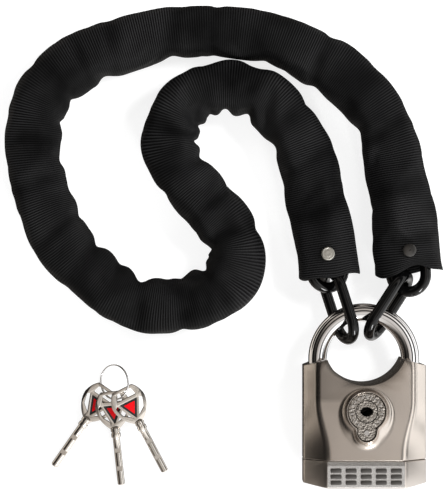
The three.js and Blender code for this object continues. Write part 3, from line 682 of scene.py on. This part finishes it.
# ---------- sleeve ----------
def route_points(count):
    """Centres, tangents, half widths and length of a smooth curve through the route, at even steps."""
    route = np.array(ROUTE)
    knots = np.vstack([2 * route[0] - route[1], route, 2 * route[-1] - route[-2]])
    dense = []
    for i in range(1, len(knots) - 2):
        p0, p1, p2, p3 = knots[i - 1:i + 3]
        for t in np.arange(0, 1, 0.02):
            a = 2 * p1 + (p2 - p0) * t + (2 * p0 - 5 * p1 + 4 * p2 - p3) * t ** 2
            dense.append((a + (3 * p1 - p0 - 3 * p2 + p3) * t ** 3) / 2)
    dense.append(route[-1])
    dense = np.array(dense)
    steps = np.linalg.norm(np.diff(dense[:, :2], axis=0), axis=1)
    length = np.concatenate([[0], np.cumsum(steps)])
    even = np.linspace(0, length[-1], count)
    samples = np.column_stack([np.interp(even, length, dense[:, k]) for k in range(3)])
    tangents = np.gradient(samples[:, :2], axis=0)
    tangents /= np.linalg.norm(tangents, axis=1)[:, None]
    return samples[:, :2] + SHIFT, tangents, samples[:, 2], length[-1]


CENTRES, TANGENTS, HALF_WIDTHS, SLEEVE_LENGTH = route_points(RINGS)
SIDES = np.column_stack([-TANGENTS[:, 1], TANGENTS[:, 0]])
STATIONS = np.linspace(0, SLEEVE_LENGTH, RINGS)
ANGLES = [2 * math.pi * j / AROUND for j in range(AROUND)]


def mouth_share(station):
    """1 at a mouth, 0 where the section has its full height."""
    return 1 - smooth_step(min(station, SLEEVE_LENGTH - station) / MOUTH_BLEND)


def half_height(station):
    return SLEEVE_HEIGHT + (MOUTH_HEIGHT - SLEEVE_HEIGHT) * mouth_share(station)


def hollow(station, angle):
    """Share from 0 to 1 of how far the fabric sinks between the links it lies on."""
    drift = 0.5 * noise.noise(Vector((station * 0.03, 7.3, 0)))
    phase = 2 * math.pi * (station / HOLLOW_SPACING + drift) + 0.9 * math.sin(angle + station * 0.02)
    strength = 0.62 + 0.8 * noise.noise(Vector((station * 0.035, math.cos(angle), math.sin(angle) + 4)))
    clear_of_mouth = 1 - mouth_share(station)
    over_links = 0.35 + 0.65 * abs(math.sin(angle))
    return min(max(strength, 0.0), 1.0) * max(0.0, math.cos(phase)) ** 2 * clear_of_mouth * over_links


def mouth_wave(station, angle):
    """How far along the route the loose edge of a mouth wanders."""
    first = station < SLEEVE_LENGTH / 2
    left = station if first else SLEEVE_LENGTH - station
    near = max(0.0, 1 - left / MOUTH_WAVE_REACH)
    wave = 0.6 * math.sin(3 * angle + 2.6) + 0.5 * math.sin(5 * angle + 1.1)
    if first:
        wave += 4 * math.exp(-((math.cos(angle) + 0.2) / 0.4) ** 2) * max(0.0, math.sin(angle))
    return near * near * wave


def crease_list():
    """Creases as station, side and size, from where they lie in plan."""
    found = []
    for x, y, depth, reach in CREASES:
        offset = np.array([x, y]) + SHIFT - CENTRES
        i = int(np.argmin(np.linalg.norm(offset, axis=1)))
        found.append((STATIONS[i], 1 if offset[i] @ SIDES[i] > 0 else -1, depth, reach))
    return found


def fold_depth(creases, station, cosine, sine):
    """How far the fabric folds in at a point of the section, less the crowns beside the folds."""
    depth = 0.0
    for place, side, size, reach in creases:
        lean = 0.35 * reach * sine
        near = math.exp(-((station - place - lean) / reach) ** 2)
        depth += size * near * max(0.0, side * cosine) ** 1.5
        crown = math.exp(-((station - place - 1.2 * reach) / (1.6 * reach)) ** 2)
        depth -= 0.22 * size * crown * max(0.0, side * cosine)
    return depth


def sleeve_points():
    """The sleeve along its route with folds, swells and waved mouths, before it settles."""
    creases = crease_list()
    points = []
    for i, station in enumerate(STATIONS):
        wide, high = HALF_WIDTHS[i], half_height(station)
        for a in ANGLES:
            cosine, sine = math.cos(a), math.sin(a)
            swell = 0.7 * noise.noise(Vector((station * 0.05, cosine * 1.3, sine * 1.3)))
            inward = fold_depth(creases, station, cosine, sine) - swell * (1 - mouth_share(station))
            plan = CENTRES[i] + SIDES[i] * (wide - inward) * cosine + TANGENTS[i] * mouth_wave(station, a)
            up = SLEEVE_HEIGHT + (high - 0.35 * inward - swell) * sine
            points.append((*plan, max(LOWEST, up)))
    return np.array(points)


def straight_points():
    """The sleeve as it was woven: straight, and all round nearly as long as the outside of its bends."""
    turn = np.gradient(np.unwrap(np.arctan2(TANGENTS[:, 1], TANGENTS[:, 0])), STATIONS)
    stretch = 1 + FABRIC_SPARE * np.abs(turn) * HALF_WIDTHS
    steps = np.diff(STATIONS) * (stretch[1:] + stretch[:-1]) / 2
    along = np.concatenate([[0], np.cumsum(steps)])
    points = []
    for i, station in enumerate(STATIONS):
        wide, high = FABRIC_EASE * HALF_WIDTHS[i], FABRIC_EASE * half_height(station)
        points += [(along[i], wide * math.cos(a), high * math.sin(a)) for a in ANGLES]
    return np.array(points)


def chain_obstacle():
    """The chain's links as one mesh that the sleeve lies on."""
    bm = bmesh.new()
    for node in [*HIDDEN_LINKS, "second_link_left", "second_link_right"]:
        bm.from_mesh(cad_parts[node].data)
    mesh = bpy.data.meshes.new("chain_obstacle")
    bm.to_mesh(mesh)
    bm.free()
    mesh.transform(Matrix.Scale(SIM_SCALE, 4))
    obj = bpy.data.objects.new("chain_obstacle", mesh)
    bpy.context.scene.collection.objects.link(obj)
    return obj


def pinned_points(points):
    """Numbers of the points at the mouths and round the rivets, which stay where they are."""
    rivets = [node_centre(f"rivet_{side}")[:2] for side in ("left", "right")]
    away = np.min([np.linalg.norm(points[:, :2] - rivet, axis=1) for rivet in rivets], axis=0)
    along = np.repeat(STATIONS, AROUND)
    near_mouth = np.minimum(along, SLEEVE_LENGTH - along) < PINNED_EDGE
    return [int(i) for i in np.flatnonzero((away < PINNED_REACH) | near_mouth)]


def add_cloth(obj, rest_shape):
    cloth = obj.modifiers.new("cloth", "CLOTH")
    settings = cloth.settings
    settings.quality = 6
    settings.mass = 0.3
    settings.tension_stiffness = 15
    settings.compression_stiffness = 4
    settings.shear_stiffness = 3
    settings.bending_stiffness = 0.4
    settings.tension_damping = settings.compression_damping = 8
    settings.vertex_group_mass = "pins"
    settings.rest_shape_key = rest_shape
    settings.use_pressure = True
    settings.uniform_pressure_force = 2.6
    settings.effector_weights.gravity = 0.5
    cloth.collision_settings.use_collision = True
    cloth.collision_settings.distance_min = 0.018
    cloth.collision_settings.collision_quality = 2
    cloth.point_cache.frame_end = CLOTH_FRAMES


def drape(points, faces):
    """Cloth simulation of the sleeve over its chain, at a larger scale; returns the settled points."""
    obj = make("sleeve_cloth", points * SIM_SCALE, faces)
    obj.shape_key_add(name="bent")
    woven = obj.shape_key_add(name="woven")
    woven.data.foreach_set("co", (straight_points() * SIM_SCALE * MM).ravel().astype(np.float32))
    obj.vertex_groups.new(name="pins").add(pinned_points(points), 1.0, "REPLACE")
    add_cloth(obj, woven)
    ground = square("ground", GROUND_HALF, 0)
    chain = chain_obstacle()
    for each in (ground, chain):
        each.modifiers.new("collision", "COLLISION")
        each.collision.thickness_outer = 0.012
    scene = bpy.context.scene
    for number in range(1, CLOTH_FRAMES + 1):
        scene.frame_set(number)
    settled = obj.evaluated_get(bpy.context.evaluated_depsgraph_get()).data
    out = np.empty(len(points) * 3, dtype=np.float32)
    settled.vertices.foreach_get("co", out)
    scene.frame_set(1)
    for each in (obj, ground, chain):
        bpy.data.objects.remove(each)
    moved = out.reshape(-1, 3) / SIM_SCALE / MM - points
    far = np.linalg.norm(moved, axis=1)
    limit = np.minimum(1, CLOTH_CAP / np.maximum(far, 1e-6))
    return points + moved * limit[:, None]


def sleeve_faces():
    """Faces of the sleeve's tube, and the texture coordinates of their corners in metres of fabric."""
    faces, uvs = [], []
    around = 2 * math.pi * FABRIC_RADIUS * MM
    for i in range(RINGS - 1):
        for j in range(AROUND):
            k = (j + 1) % AROUND
            a, b = i * AROUND, (i + 1) * AROUND
            faces.append((a + j, a + k, b + k, b + j))
            u0, u1 = STATIONS[i] * MM, STATIONS[i + 1] * MM
            v0, v1 = around * j / AROUND, around * (j + 1) / AROUND
            uvs += [(u0, v0), (u0, v1), (u1, v1), (u1, v0)]
    return faces, uvs


def sleeve():
    """The woven sleeve: settled as cloth, then pushed in between its links and given a wall."""
    points = sleeve_points()
    faces, uvs = sleeve_faces()
    points = drape(points, faces)
    points[:, 2] = np.maximum(points[:, 2], LOWEST)
    rings = points.reshape(RINGS, AROUND, 3)
    middles = rings.mean(axis=1, keepdims=True)
    sunk = np.array([[hollow(station, angle) for angle in ANGLES] for station in STATIONS])
    inward = (middles - rings) / np.linalg.norm(middles - rings, axis=2, keepdims=True)
    points = (rings + inward * HOLLOW_DEPTH * sunk[:, :, None]).reshape(-1, 3)
    obj = make("woven_sleeve", points, faces, uvs)
    # The sink share is kept on the points; the fabric's material paints shade into the hollows from it.
    depth = obj.data.attributes.new("hollow", "FLOAT", "POINT")
    depth.data.foreach_set("value", sunk.ravel().astype(np.float32))
    shade(obj, 180)
    wall = obj.modifiers.new("wall", "SOLIDIFY")
    wall.thickness = SLEEVE_WALL * MM
    wall.offset = -1
    finer = obj.modifiers.new("finer", "SUBSURF")
    finer.levels = finer.render_levels = 1
    apply_modifiers(obj)
    shade(obj, 180)
    finish_piece(obj, "fabric", "sleeved_chain", "black_fabric", "sleeve")


# ---------- rivets ----------
def rivet(name, place, material, slot, dimple):
    """A head on either side of the sleeve, joined by the shank. A dimple makes it a hollow rivet."""
    head = RIVET_HEAD
    profile = [(0.01, -0.6), (head * 0.8, -0.6), (head, -0.25), (head, 0.15), (head * 0.93, 0.5)]
    if dimple:
        profile += [(head * 0.6, 0.78), (0.5, 0.9), (0.32, 0.5), (0.01, 0.45)]
    else:
        profile += [(head * 0.82, 0.62), (head * 0.78, 0.52), (head * 0.5, 0.56), (head * 0.46, 0.68),
                    (head * 0.2, 0.72), (0.01, 0.6)]
    centre = node_centre(f"rivet_{name}")
    reach = half_height(place) + 0.6
    pieces = [prism("shank", circle(RIVET_SHANK, sides=24), -reach, reach)]
    for side in (1, -1):
        levels = [(circle(radius, sides=40), side * (reach + z)) for radius, z in profile]
        pieces.append(stack(f"rivet_head_{name}", levels))
    shank, obj, lower_head = pieces
    join(obj, lower_head, shank)
    shift_mesh(obj, (centre[0], centre[1], SLEEVE_HEIGHT))
    shade(obj, 30)
    finish_piece(obj, material, "sleeved_chain", slot, f"rivet_{name}")


# ---------- links ----------
def link(name, node, body):
    """A long round link where the node's link lies."""
    centre, (_, across, along) = spread_axes(node_points(node))
    straight = (LINK_HALF_LENGTH - LINK_HALF_WIDTH) * along
    angles = np.linspace(-math.pi / 2, math.pi / 2, 21)
    centres, outwards = arc(centre + straight, LINK_HALF_WIDTH, along, across, angles)
    far_centres, far_outwards = arc(centre - straight, LINK_HALF_WIDTH, -along, -across, angles)
    centres += far_centres
    outwards += far_outwards
    obj = sweep(name, centres, outwards, WIRE, 24, closed=True)
    shade(obj, 60)
    finish_piece(obj, "link", body, "black_link", node)


# ---------- padlock ----------
def front_half_width(y):
    """Half the front face's width, which narrows below the waist's top."""
    share = smooth_step((WAIST_TOP - y) / (WAIST_TOP - WAIST_BOTTOM))
    return FRONT_HALF_WIDTH + (WAIST_HALF_WIDTH - FRONT_HALF_WIDTH) * share


def rounded(corners, radii, steps=5):
    """A polygon whose corners are rounded by short quadratic curves."""
    count = len(corners)
    outline = []
    for i in range(count):
        before, corner, after = (np.array(corners[(i + k) % count], float) for k in (-1, 0, 1))
        towards = [(p - corner) / np.linalg.norm(p - corner) for p in (before, after)]
        start, end = corner + towards[0] * radii[i], corner + towards[1] * radii[i]
        for k in range(steps + 1):
            t = k / steps
            outline.append((1 - t) ** 2 * start + 2 * t * (1 - t) * corner + t ** 2 * end)
    return outline


def body_section(y, inset):
    """Outline of the padlock's body across its length, pulled in by inset."""
    front = front_half_width(y) - inset
    side = BODY_HALF_WIDTH - inset
    top = BODY_THICKNESS - inset
    corners = [(front, top), (side, MID + SIDE_BAND), (side, MID - SIDE_BAND), (front, inset),
               (-front, inset), (-side, MID - SIDE_BAND), (-side, MID + SIDE_BAND), (-front, top)]
    radii = [2.6, 1.2, 1.2, 1.0, 1.0, 1.2, 1.2, 2.6]
    return rounded(corners, radii)


def pear_radius(angle, extra):
    """How far the cylinder's outline, a circle with a lobe below, lies from the circle's centre."""
    from_lobe = angle + math.pi / 2
    across = LOBE_OFFSET * math.sin(from_lobe)
    lobe, ball = LOBE_RADIUS + extra, ROUND_RADIUS + extra
    if math.cos(from_lobe) <= 0 or abs(across) >= lobe:
        return ball
    return max(ball, LOBE_OFFSET * math.cos(from_lobe) + math.sqrt(lobe * lobe - across * across))


def pear(extra, sides=128, blur=0):
    """Outline of the cylinder grown by extra, its inner corners softened by blur passes."""
    radii = np.array([pear_radius(2 * math.pi * i / sides, extra) for i in range(sides)])
    for _ in range(blur):
        radii = (np.roll(radii, 1) + 2 * radii + np.roll(radii, -1)) / 4
    angles = 2 * np.pi * np.arange(sides) / sides
    return [(r * math.cos(a), CYLINDER_CENTRE + r * math.sin(a)) for r, a in zip(radii, angles)]


def boss():
    """Flared mound from the front face up to the lip round the cylinder."""
    base = np.array([(BOSS_REACH * x, CYLINDER_CENTRE - 2.4 + (BOSS_BELOW if y < 0 else BOSS_ABOVE) * y)
                     for x, y in circle(1, sides=128)])
    rim = np.array(pear(0.95, blur=6))
    flare = [(-3, 0), (-0.4, 0), (0.0, 0.02), (0.08, 0.18), (0.26, 0.34), (0.62, 0.5), (1.2, 0.66),
             (2.05, 0.8), (3.0, 0.92), (3.75, 0.99)]
    levels = [((1 - share) * base + share * rim, BODY_THICKNESS + z) for z, share in flare]
    top = BODY_THICKNESS + BOSS_HEIGHT
    levels += [(pear(0.85, blur=3), top - 0.08), (pear(0.6, blur=2), top), (pear(0.35), top - 0.3)]
    return stack("boss", levels)


def shoulder_cut(side):
    outer = EAR_TOP - SHOULDER_DROP * 1.6
    outline = [(side * 19, EAR_TOP), (side * 40, outer), (side * 40, 12), (side * 19, 12)]
    return prism("shoulder", outline, -1, BODY_THICKNESS + 1)


def lock_piece(obj, material, body, slot, *nodes, angle=32):
    """Puts a piece that was drawn about the shackle's arc in its place, and finishes it."""
    shift_mesh(obj, LOCK)
    shade(obj, angle)
    finish_piece(obj, material, body, slot, *nodes)


def lock_shell():
    """The padlock's hollow body with its notch, boss, bores, bolt guides, cylinder pocket and cavity."""
    ys = [EAR_TOP, EAR_TOP - 0.4, -6, -12, -18, *np.linspace(WAIST_TOP, WAIST_BOTTOM, 20), SEAM + 0.35, SEAM]
    insets = [0.35, *[0] * (len(ys) - 2), 0.35]
    obj = stack_y("padlock_shell", [(body_section(y, inset), y) for y, inset in zip(ys, insets)])
    boolean(obj, boss(), "UNION")
    cut(obj, prism("notch", circle(NOTCH_RADIUS, 0, NOTCH_CENTRE, 128), -1, 40))
    half = BOLT_HALF + GAP
    for side, bore_end in ((-1, TOE_BORE_END), (1, HEEL_BORE_END)):
        x = side * SHACKLE_RADIUS
        cut(obj, shoulder_cut(side),
            rod_y("bore", BORE_RADIUS, x, MID, bore_end, 10, 48),
            rod_y("groove", SEAL_GROOVE, x, MID, SEAL_Y - SEAL_HALF, SEAL_Y + SEAL_HALF, 48),
            box("guide", side * (CAM_LONG - 2), x, CYLINDER_CENTRE - half, CYLINDER_CENTRE + half,
                MID - half, MID + half),
            rod_y("screw_hole", SCREW_HOLE, side * SCREW_X, SCREW_Z, SEAM - 5, SCREW_TOP))
    chamber, low, high = CAM_LONG + 0.7, MID - CAM_HALF_HEIGHT - 0.4, MID + CAM_HALF_HEIGHT + 0.4
    cut(obj, prism("pocket", pear(GAP + 0.05), HOUSING_FLOOR - GAP, 50),
        prism("plug_bore", circle(PLUG_RADIUS + GAP, 0, CYLINDER_CENTRE, 48), PLUG_FLOOR - GAP, 25),
        prism("chamber", circle(chamber, 0, CYLINDER_CENTRE, 48), low, high),
        box("way", -chamber, chamber, SCREW_TOP, CYLINDER_CENTRE, low, high),
        box("cavity", -CAVITY, CAVITY, SEAM - 5, CAVITY_TOP, CAVITY_BACK, high))
    bevel(obj, 0.3, 2, 50)
    lock_piece(obj, "body", "padlock_body", "satin_nickel", "lock_body")


def end_cap():
    """The hollow cap under the body, with slanting lower corners, screw holes and its plate's recess."""
    ys = [SEAM - GAP, SEAM - GAP - 0.35, -60, BOTTOM + 1.2, BOTTOM + 0.4, BOTTOM]
    insets = [0.35, 0, 0, 0, 0.3, 0.9]
    obj = stack_y("cap_shell", [(body_section(y, inset), y) for y, inset in zip(ys, insets)])
    below, above, ends = BOTTOM - 1, SEAM + 1, (-WAIST_HALF_WIDTH, WAIST_HALF_WIDTH)
    for side in (-1, 1):
        inner, outer, x = side * WAIST_HALF_WIDTH, side * 40, side * SCREW_X
        rise = [(inner, BOTTOM), (outer, BOTTOM + CORNER_RISE), (outer, BOTTOM - 5), (inner, BOTTOM - 5)]
        cut(obj, prism("rise", rise, -1, 40),
            rod_y("screw_hole", SCREW_HOLE, x, SCREW_Z, below, above),
            rod_y("screw_head_hole", SCREW_HEAD_HOLE, x, SCREW_Z, below, BOTTOM + 2.6))
    cut(obj, box("recess", *ends, below, above, BODY_THICKNESS - PLATE_DEPTH - GAP, 40),
        box("cavity", -CAVITY, CAVITY, BOTTOM + 2, above, CAVITY_BACK, CAP_CAVITY_FRONT))
    bevel(obj, 0.25, 2, 50)
    lock_piece(obj, "cap", "end_cap", "satin_nickel", "end_cap")


def label_plate():
    """Stippled plate with a bright sloping top edge, and columns of dark raised blocks like a sound meter."""
    top, low, face = SEAM - 0.6, BOTTOM + 0.6, BODY_THICKNESS
    flat_top = top - PLATE_SLOPE
    profile = [(low, face - PLATE_DEPTH), (low, face - 0.2), (low + 0.25, face), (flat_top, face),
               (top, face - 0.55), (top, face - PLATE_DEPTH)]
    ends = (-WAIST_HALF_WIDTH, WAIST_HALF_WIDTH)
    plate = loft("front_plate", [[(x, y, z) for y, z in profile] for x in ends])
    lock_piece(plate, "plate", "end_cap", "bright_plate", "label_plate", angle=15)
    bars = []
    wide, high = METER_BAR
    for i in range(METER_COLUMNS * METER_ROWS):
        x = (i % METER_COLUMNS - (METER_COLUMNS - 1) / 2) * METER_STEP[0]
        y = (flat_top + low) / 2 + (i // METER_COLUMNS - (METER_ROWS - 1) / 2) * METER_STEP[1]
        corners = [(x - wide, y - high), (x + wide, y - high), (x + wide, y + high), (x - wide, y + high)]
        bars.append(prism("meter_bars", rounded(corners, [0.7] * 4), face - 0.1, face + 0.4))
    join(*bars)
    bevel(bars[0], 0.12, 2, 50)
    lock_piece(bars[0], "dark", "end_cap", "bright_plate")


def cylinder_face():
    """Coined face of the cylinder housing, with a ring of short strokes and a dot on its lobe."""
    face = BODY_THICKNESS + BOSS_HEIGHT - 0.7
    obj = stack("cylinder_face", [(pear(0), HOUSING_FLOOR), (pear(0), face - 0.3), (pear(-0.3), face)])
    cut(obj, prism("hole", circle(PLUG_RADIUS + GAP, 0, CYLINDER_CENTRE, 64), 0, 50))
    lock_piece(obj, "engraved", "padlock_body", "satin_nickel", "cylinder_housing")
    strokes = []
    for i in range(STROKES):
        a = 2 * math.pi * (i + 0.5) / STROKES
        if abs(a - 1.5 * math.pi) < 0.45:
            continue  # the lobe's place
        half = 0.75 if i % 2 else 0.5
        out, side = np.array([math.cos(a), math.sin(a)]), np.array([-math.sin(a), math.cos(a)])
        corners = [out * (STROKE_RADIUS + r * half) + side * w * STROKE_HALF_WIDTH + (0, CYLINDER_CENTRE)
                   for r, w in ((-1, -1), (1, -1), (1, 1), (-1, 1))]
        strokes.append(prism("face_strokes", corners, face - 0.1, face + 0.4))
    strokes.append(prism("dot", circle(1.3, 0, CYLINDER_CENTRE - 11.2, 24), face - 0.1, face + 0.2))
    join(*strokes)
    lock_piece(strokes[0], "steel", "padlock_body", "satin_nickel")


def plug():
    """The plug with its lens-shaped keyhole, and a black sheet deep in it as painted shade."""
    face = BODY_THICKNESS + BOSS_HEIGHT - 0.9
    wide, rim = (circle(radius, 0, CYLINDER_CENTRE) for radius in (PLUG_RADIUS, PLUG_RADIUS - 0.2))
    obj = stack("plug_face", [(wide, PLUG_FLOOR), (wide, face - 0.2), (rim, face)])
    lens = [(KEYHOLE[0] / 2 * x, CYLINDER_CENTRE + KEYHOLE[1] / 2 * y * (1 - 0.25 * x * x))
            for x, y in circle(1, sides=48)]
    cut(obj, prism("keyhole", lens, face - 25, face + 1))
    lock_piece(obj, "engraved", "plug", "satin_nickel", "cylinder_plug")
    low, high = CYLINDER_CENTRE - 2.2, CYLINDER_CENTRE + 2.2
    # A black sheet deep in the keyhole stands in for the shade there: painted shade.
    painted_keyway_shade = box("keyway_shade", -3.2, 3.2, low, high, face - 24.5, face - 24)
    lock_piece(painted_keyway_shade, "plastic", "plug", "satin_nickel")


def shackle():
    """A bar bent round, with a slanting notch in each leg for its bolt."""
    across, along, _ = np.eye(3)
    heel = [np.array([SHACKLE_RADIUS, y, MID]) for y in np.linspace(HEEL_END, -1, 14)]
    toe = [np.array([-SHACKLE_RADIUS, y, MID]) for y in np.linspace(-1, TOE_END, 12)]
    bend, outwards = arc(np.array([0, 0, MID]), SHACKLE_RADIUS, across, along, np.linspace(0, math.pi, 65))
    centres = heel + bend + toe
    outwards = [across] * len(heel) + outwards + [-across] * len(toe)
    obj = sweep("shackle_bar", centres, outwards, SHACKLE_ROD - 0.02, 40)
    top, foot = CYLINDER_CENTRE + BOLT_HALF + GAP, CYLINDER_CENTRE - BOLT_HALF - GAP
    for side in (-1, 1):
        deep, shallow = side * (BOLT_OUTER + GAP), side * (BOLT_OUTER - BOLT_TRAVEL + GAP)
        end = foot - SHACKLE_TRAVEL
        notch = [(0, top), (deep, top), (deep, foot), (shallow, end), (0, end)]
        cut(obj, prism("bolt_notch", notch, 0, BODY_THICKNESS))
    bevel(obj, 0.5, 2, 60)
    lock_piece(obj, "chrome", "shackle", "polished_chrome", "shackle", angle=40)


# ---------- keys ----------
def key_place(around, heading, height):
    """Where a key lies: its bow at height on the ring, its tip on the ground."""
    angle, turn = math.radians(around), math.radians(heading)
    tip = math.atan((height - SHANK_RADIUS - 0.15) / KEY_LENGTH)
    place = Vector((RING_CENTRE[0] + KEY_REACH * math.sin(angle) + SHIFT[0],
                    RING_CENTRE[1] - KEY_REACH * math.cos(angle) + SHIFT[1], height)) * MM
    return Matrix.Translation(place) @ Matrix.Rotation(math.pi + turn, 4, "Z") @ Matrix.Rotation(-tip, 4, "X")


def quadratic(start, corner, end, steps=8):
    for k in range(1, steps + 1):
        t = k / steps
        yield tuple((1 - t) ** 2 * s + 2 * t * (1 - t) * c + t * t * e for s, c, e in zip(start, corner, end))


def bow_outline():
    w = BOW_HALF_WIDTH
    right = [(w * 0.6, BOW_TOP)]
    right += quadratic(right[-1], (w * 0.92, BOW_TOP + 2.6), (w, 3.5))
    right += quadratic(right[-1], (w * 0.98, 10.5), (COLLAR_RADIUS, BOW_BOTTOM))
    return right + [(-x, y) for x, y in reversed(right)]


def key_bow(name):
    """Flat bow with a window for the ring, a triangular recess and a slot on either side of it."""
    obj = prism(name, bow_outline(), -BOW_THICKNESS / 2, BOW_THICKNESS / 2)
    cut(obj, prism("window", rounded(WINDOW, [0.8] * 4), -3, 3),
        prism("recess", rounded(RECESS, [0.5] * 3), -0.1, 3))
    for side in (-1, 1):
        slot = rounded([(side * 2.1, 12.6), (side * 6.6, 3.0), (side * 8, 4.2), (side * 6.2, 9.6)], [0.5] * 4)
        cut(obj, prism("side_slot", slot, -3, 3))
    bevel(obj, 0.3, 2, 50)
    return obj


def key_shank():
    """Round shank with two collars at the bow and bites on both of its faces."""
    stations = [(-0.6, COLLAR_RADIUS * 0.9), (-0.2, COLLAR_RADIUS), (1.6, COLLAR_RADIUS), (1.9, NECK_RADIUS),
                (2.5, NECK_RADIUS), (2.8, COLLAR_RADIUS), (4.7, COLLAR_RADIUS), (5, SHANK_RADIUS),
                (KEY_LENGTH - BOW_BOTTOM - 0.6, SHANK_RADIUS), (KEY_LENGTH - BOW_BOTTOM, SHANK_RADIUS * 0.7)]
    shank = stack_y("shank", [(circle(radius, sides=28), BOW_BOTTOM + y) for y, radius in stations])
    for y, face in BITES:
        cut(shank, box("bite", -3, 3, y - BITE_HALF, y + BITE_HALF, face * BITE_FLOOR, face * 3))
    bevel(shank, 0.12, 1, 60)
    return shank


def key(word, around, heading, height):
    """A key, and the red insert and dark floor in its recess."""
    name = f"key_{word}"
    obj = key_bow(f"{name}_body")
    join(obj, key_shank())
    insert = prism(f"{name}_triangle", rounded(INSERT, [0.3] * 3), 0.1, BOW_THICKNESS / 2 - 0.1)
    bevel(insert, 0.15, 2, 50)
    inlay = prism(f"{name}_recess", rounded(RECESS, [0.5] * 3), -0.2, 0.05)
    for piece in (obj, insert, inlay):
        piece.data.transform(key_place(around, heading, height))
        shade(piece)
    finish_piece(obj, "key", name, "satin_nickel", name)
    finish_piece(insert, "red", name, "red_enamel", f"key_insert_{word}")
    finish_piece(inlay, "plastic", name, "satin_nickel")


def key_ring():
    """Split ring: two close turns of round wire."""
    centre, (up, a_axis, b_axis) = spread_axes(node_points("key_ring"))
    shares = np.linspace(0, 1, 161)
    turns, outwards = arc(centre, RING_RADIUS, a_axis, b_axis, 4 * math.pi * shares)
    centres = [point + 0.32 * math.tanh((share - 0.5) * 9) * up for point, share in zip(turns, shares)]
    obj = sweep("split_ring", centres, outwards, RING_WIRE * 0.55, 12)
    shade(obj, 60)
    finish_piece(obj, "chrome", "key_ring", "bright_steel", "key_ring")


# ---------- nodes that stay ----------
KEPT = {
    "steel": ["shackle_spring", "locking_bolt_left", "locking_bolt_right", "cap_screw_left",
              "cap_screw_right", "battery_cell_1", "battery_cell_2", "battery_cell_3"],
    "brass": ["lock_cam"],
    "rubber": ["shackle_seal_left", "shackle_seal_right"],
    "board": ["circuit_board"],
    "plastic": ["siren", "shake_sensor", "battery_carrier"],
    "link": HIDDEN_LINKS,
}


def dress_kept_nodes():
    for material, nodes in KEPT.items():
        for node in nodes:
            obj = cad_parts[node]
            if not obj.material_slots:
                obj.data.materials.append(MATERIALS[material])
            for each in obj.material_slots:
                each.material = MATERIALS[material]


camera()
sleeve()
floor()
studio_world()
lights()
rivet("right", RIVET_INSET, "gunmetal", "gunmetal", True)
rivet("left", SLEEVE_LENGTH - RIVET_INSET, "rivet", "bright_plate", False)
link("link_right", "end_link_right", "right_end_link")
link("link_left", "end_link_left", "left_end_link")
link("inner_link_right", "second_link_right", "sleeved_chain")
link("inner_link_left", "second_link_left", "sleeved_chain")
lock_shell()
end_cap()
label_plate()
cylinder_face()
plug()
shackle()
for each_key in KEYS:
    key(*each_key)
key_ring()
dress_kept_nodes()
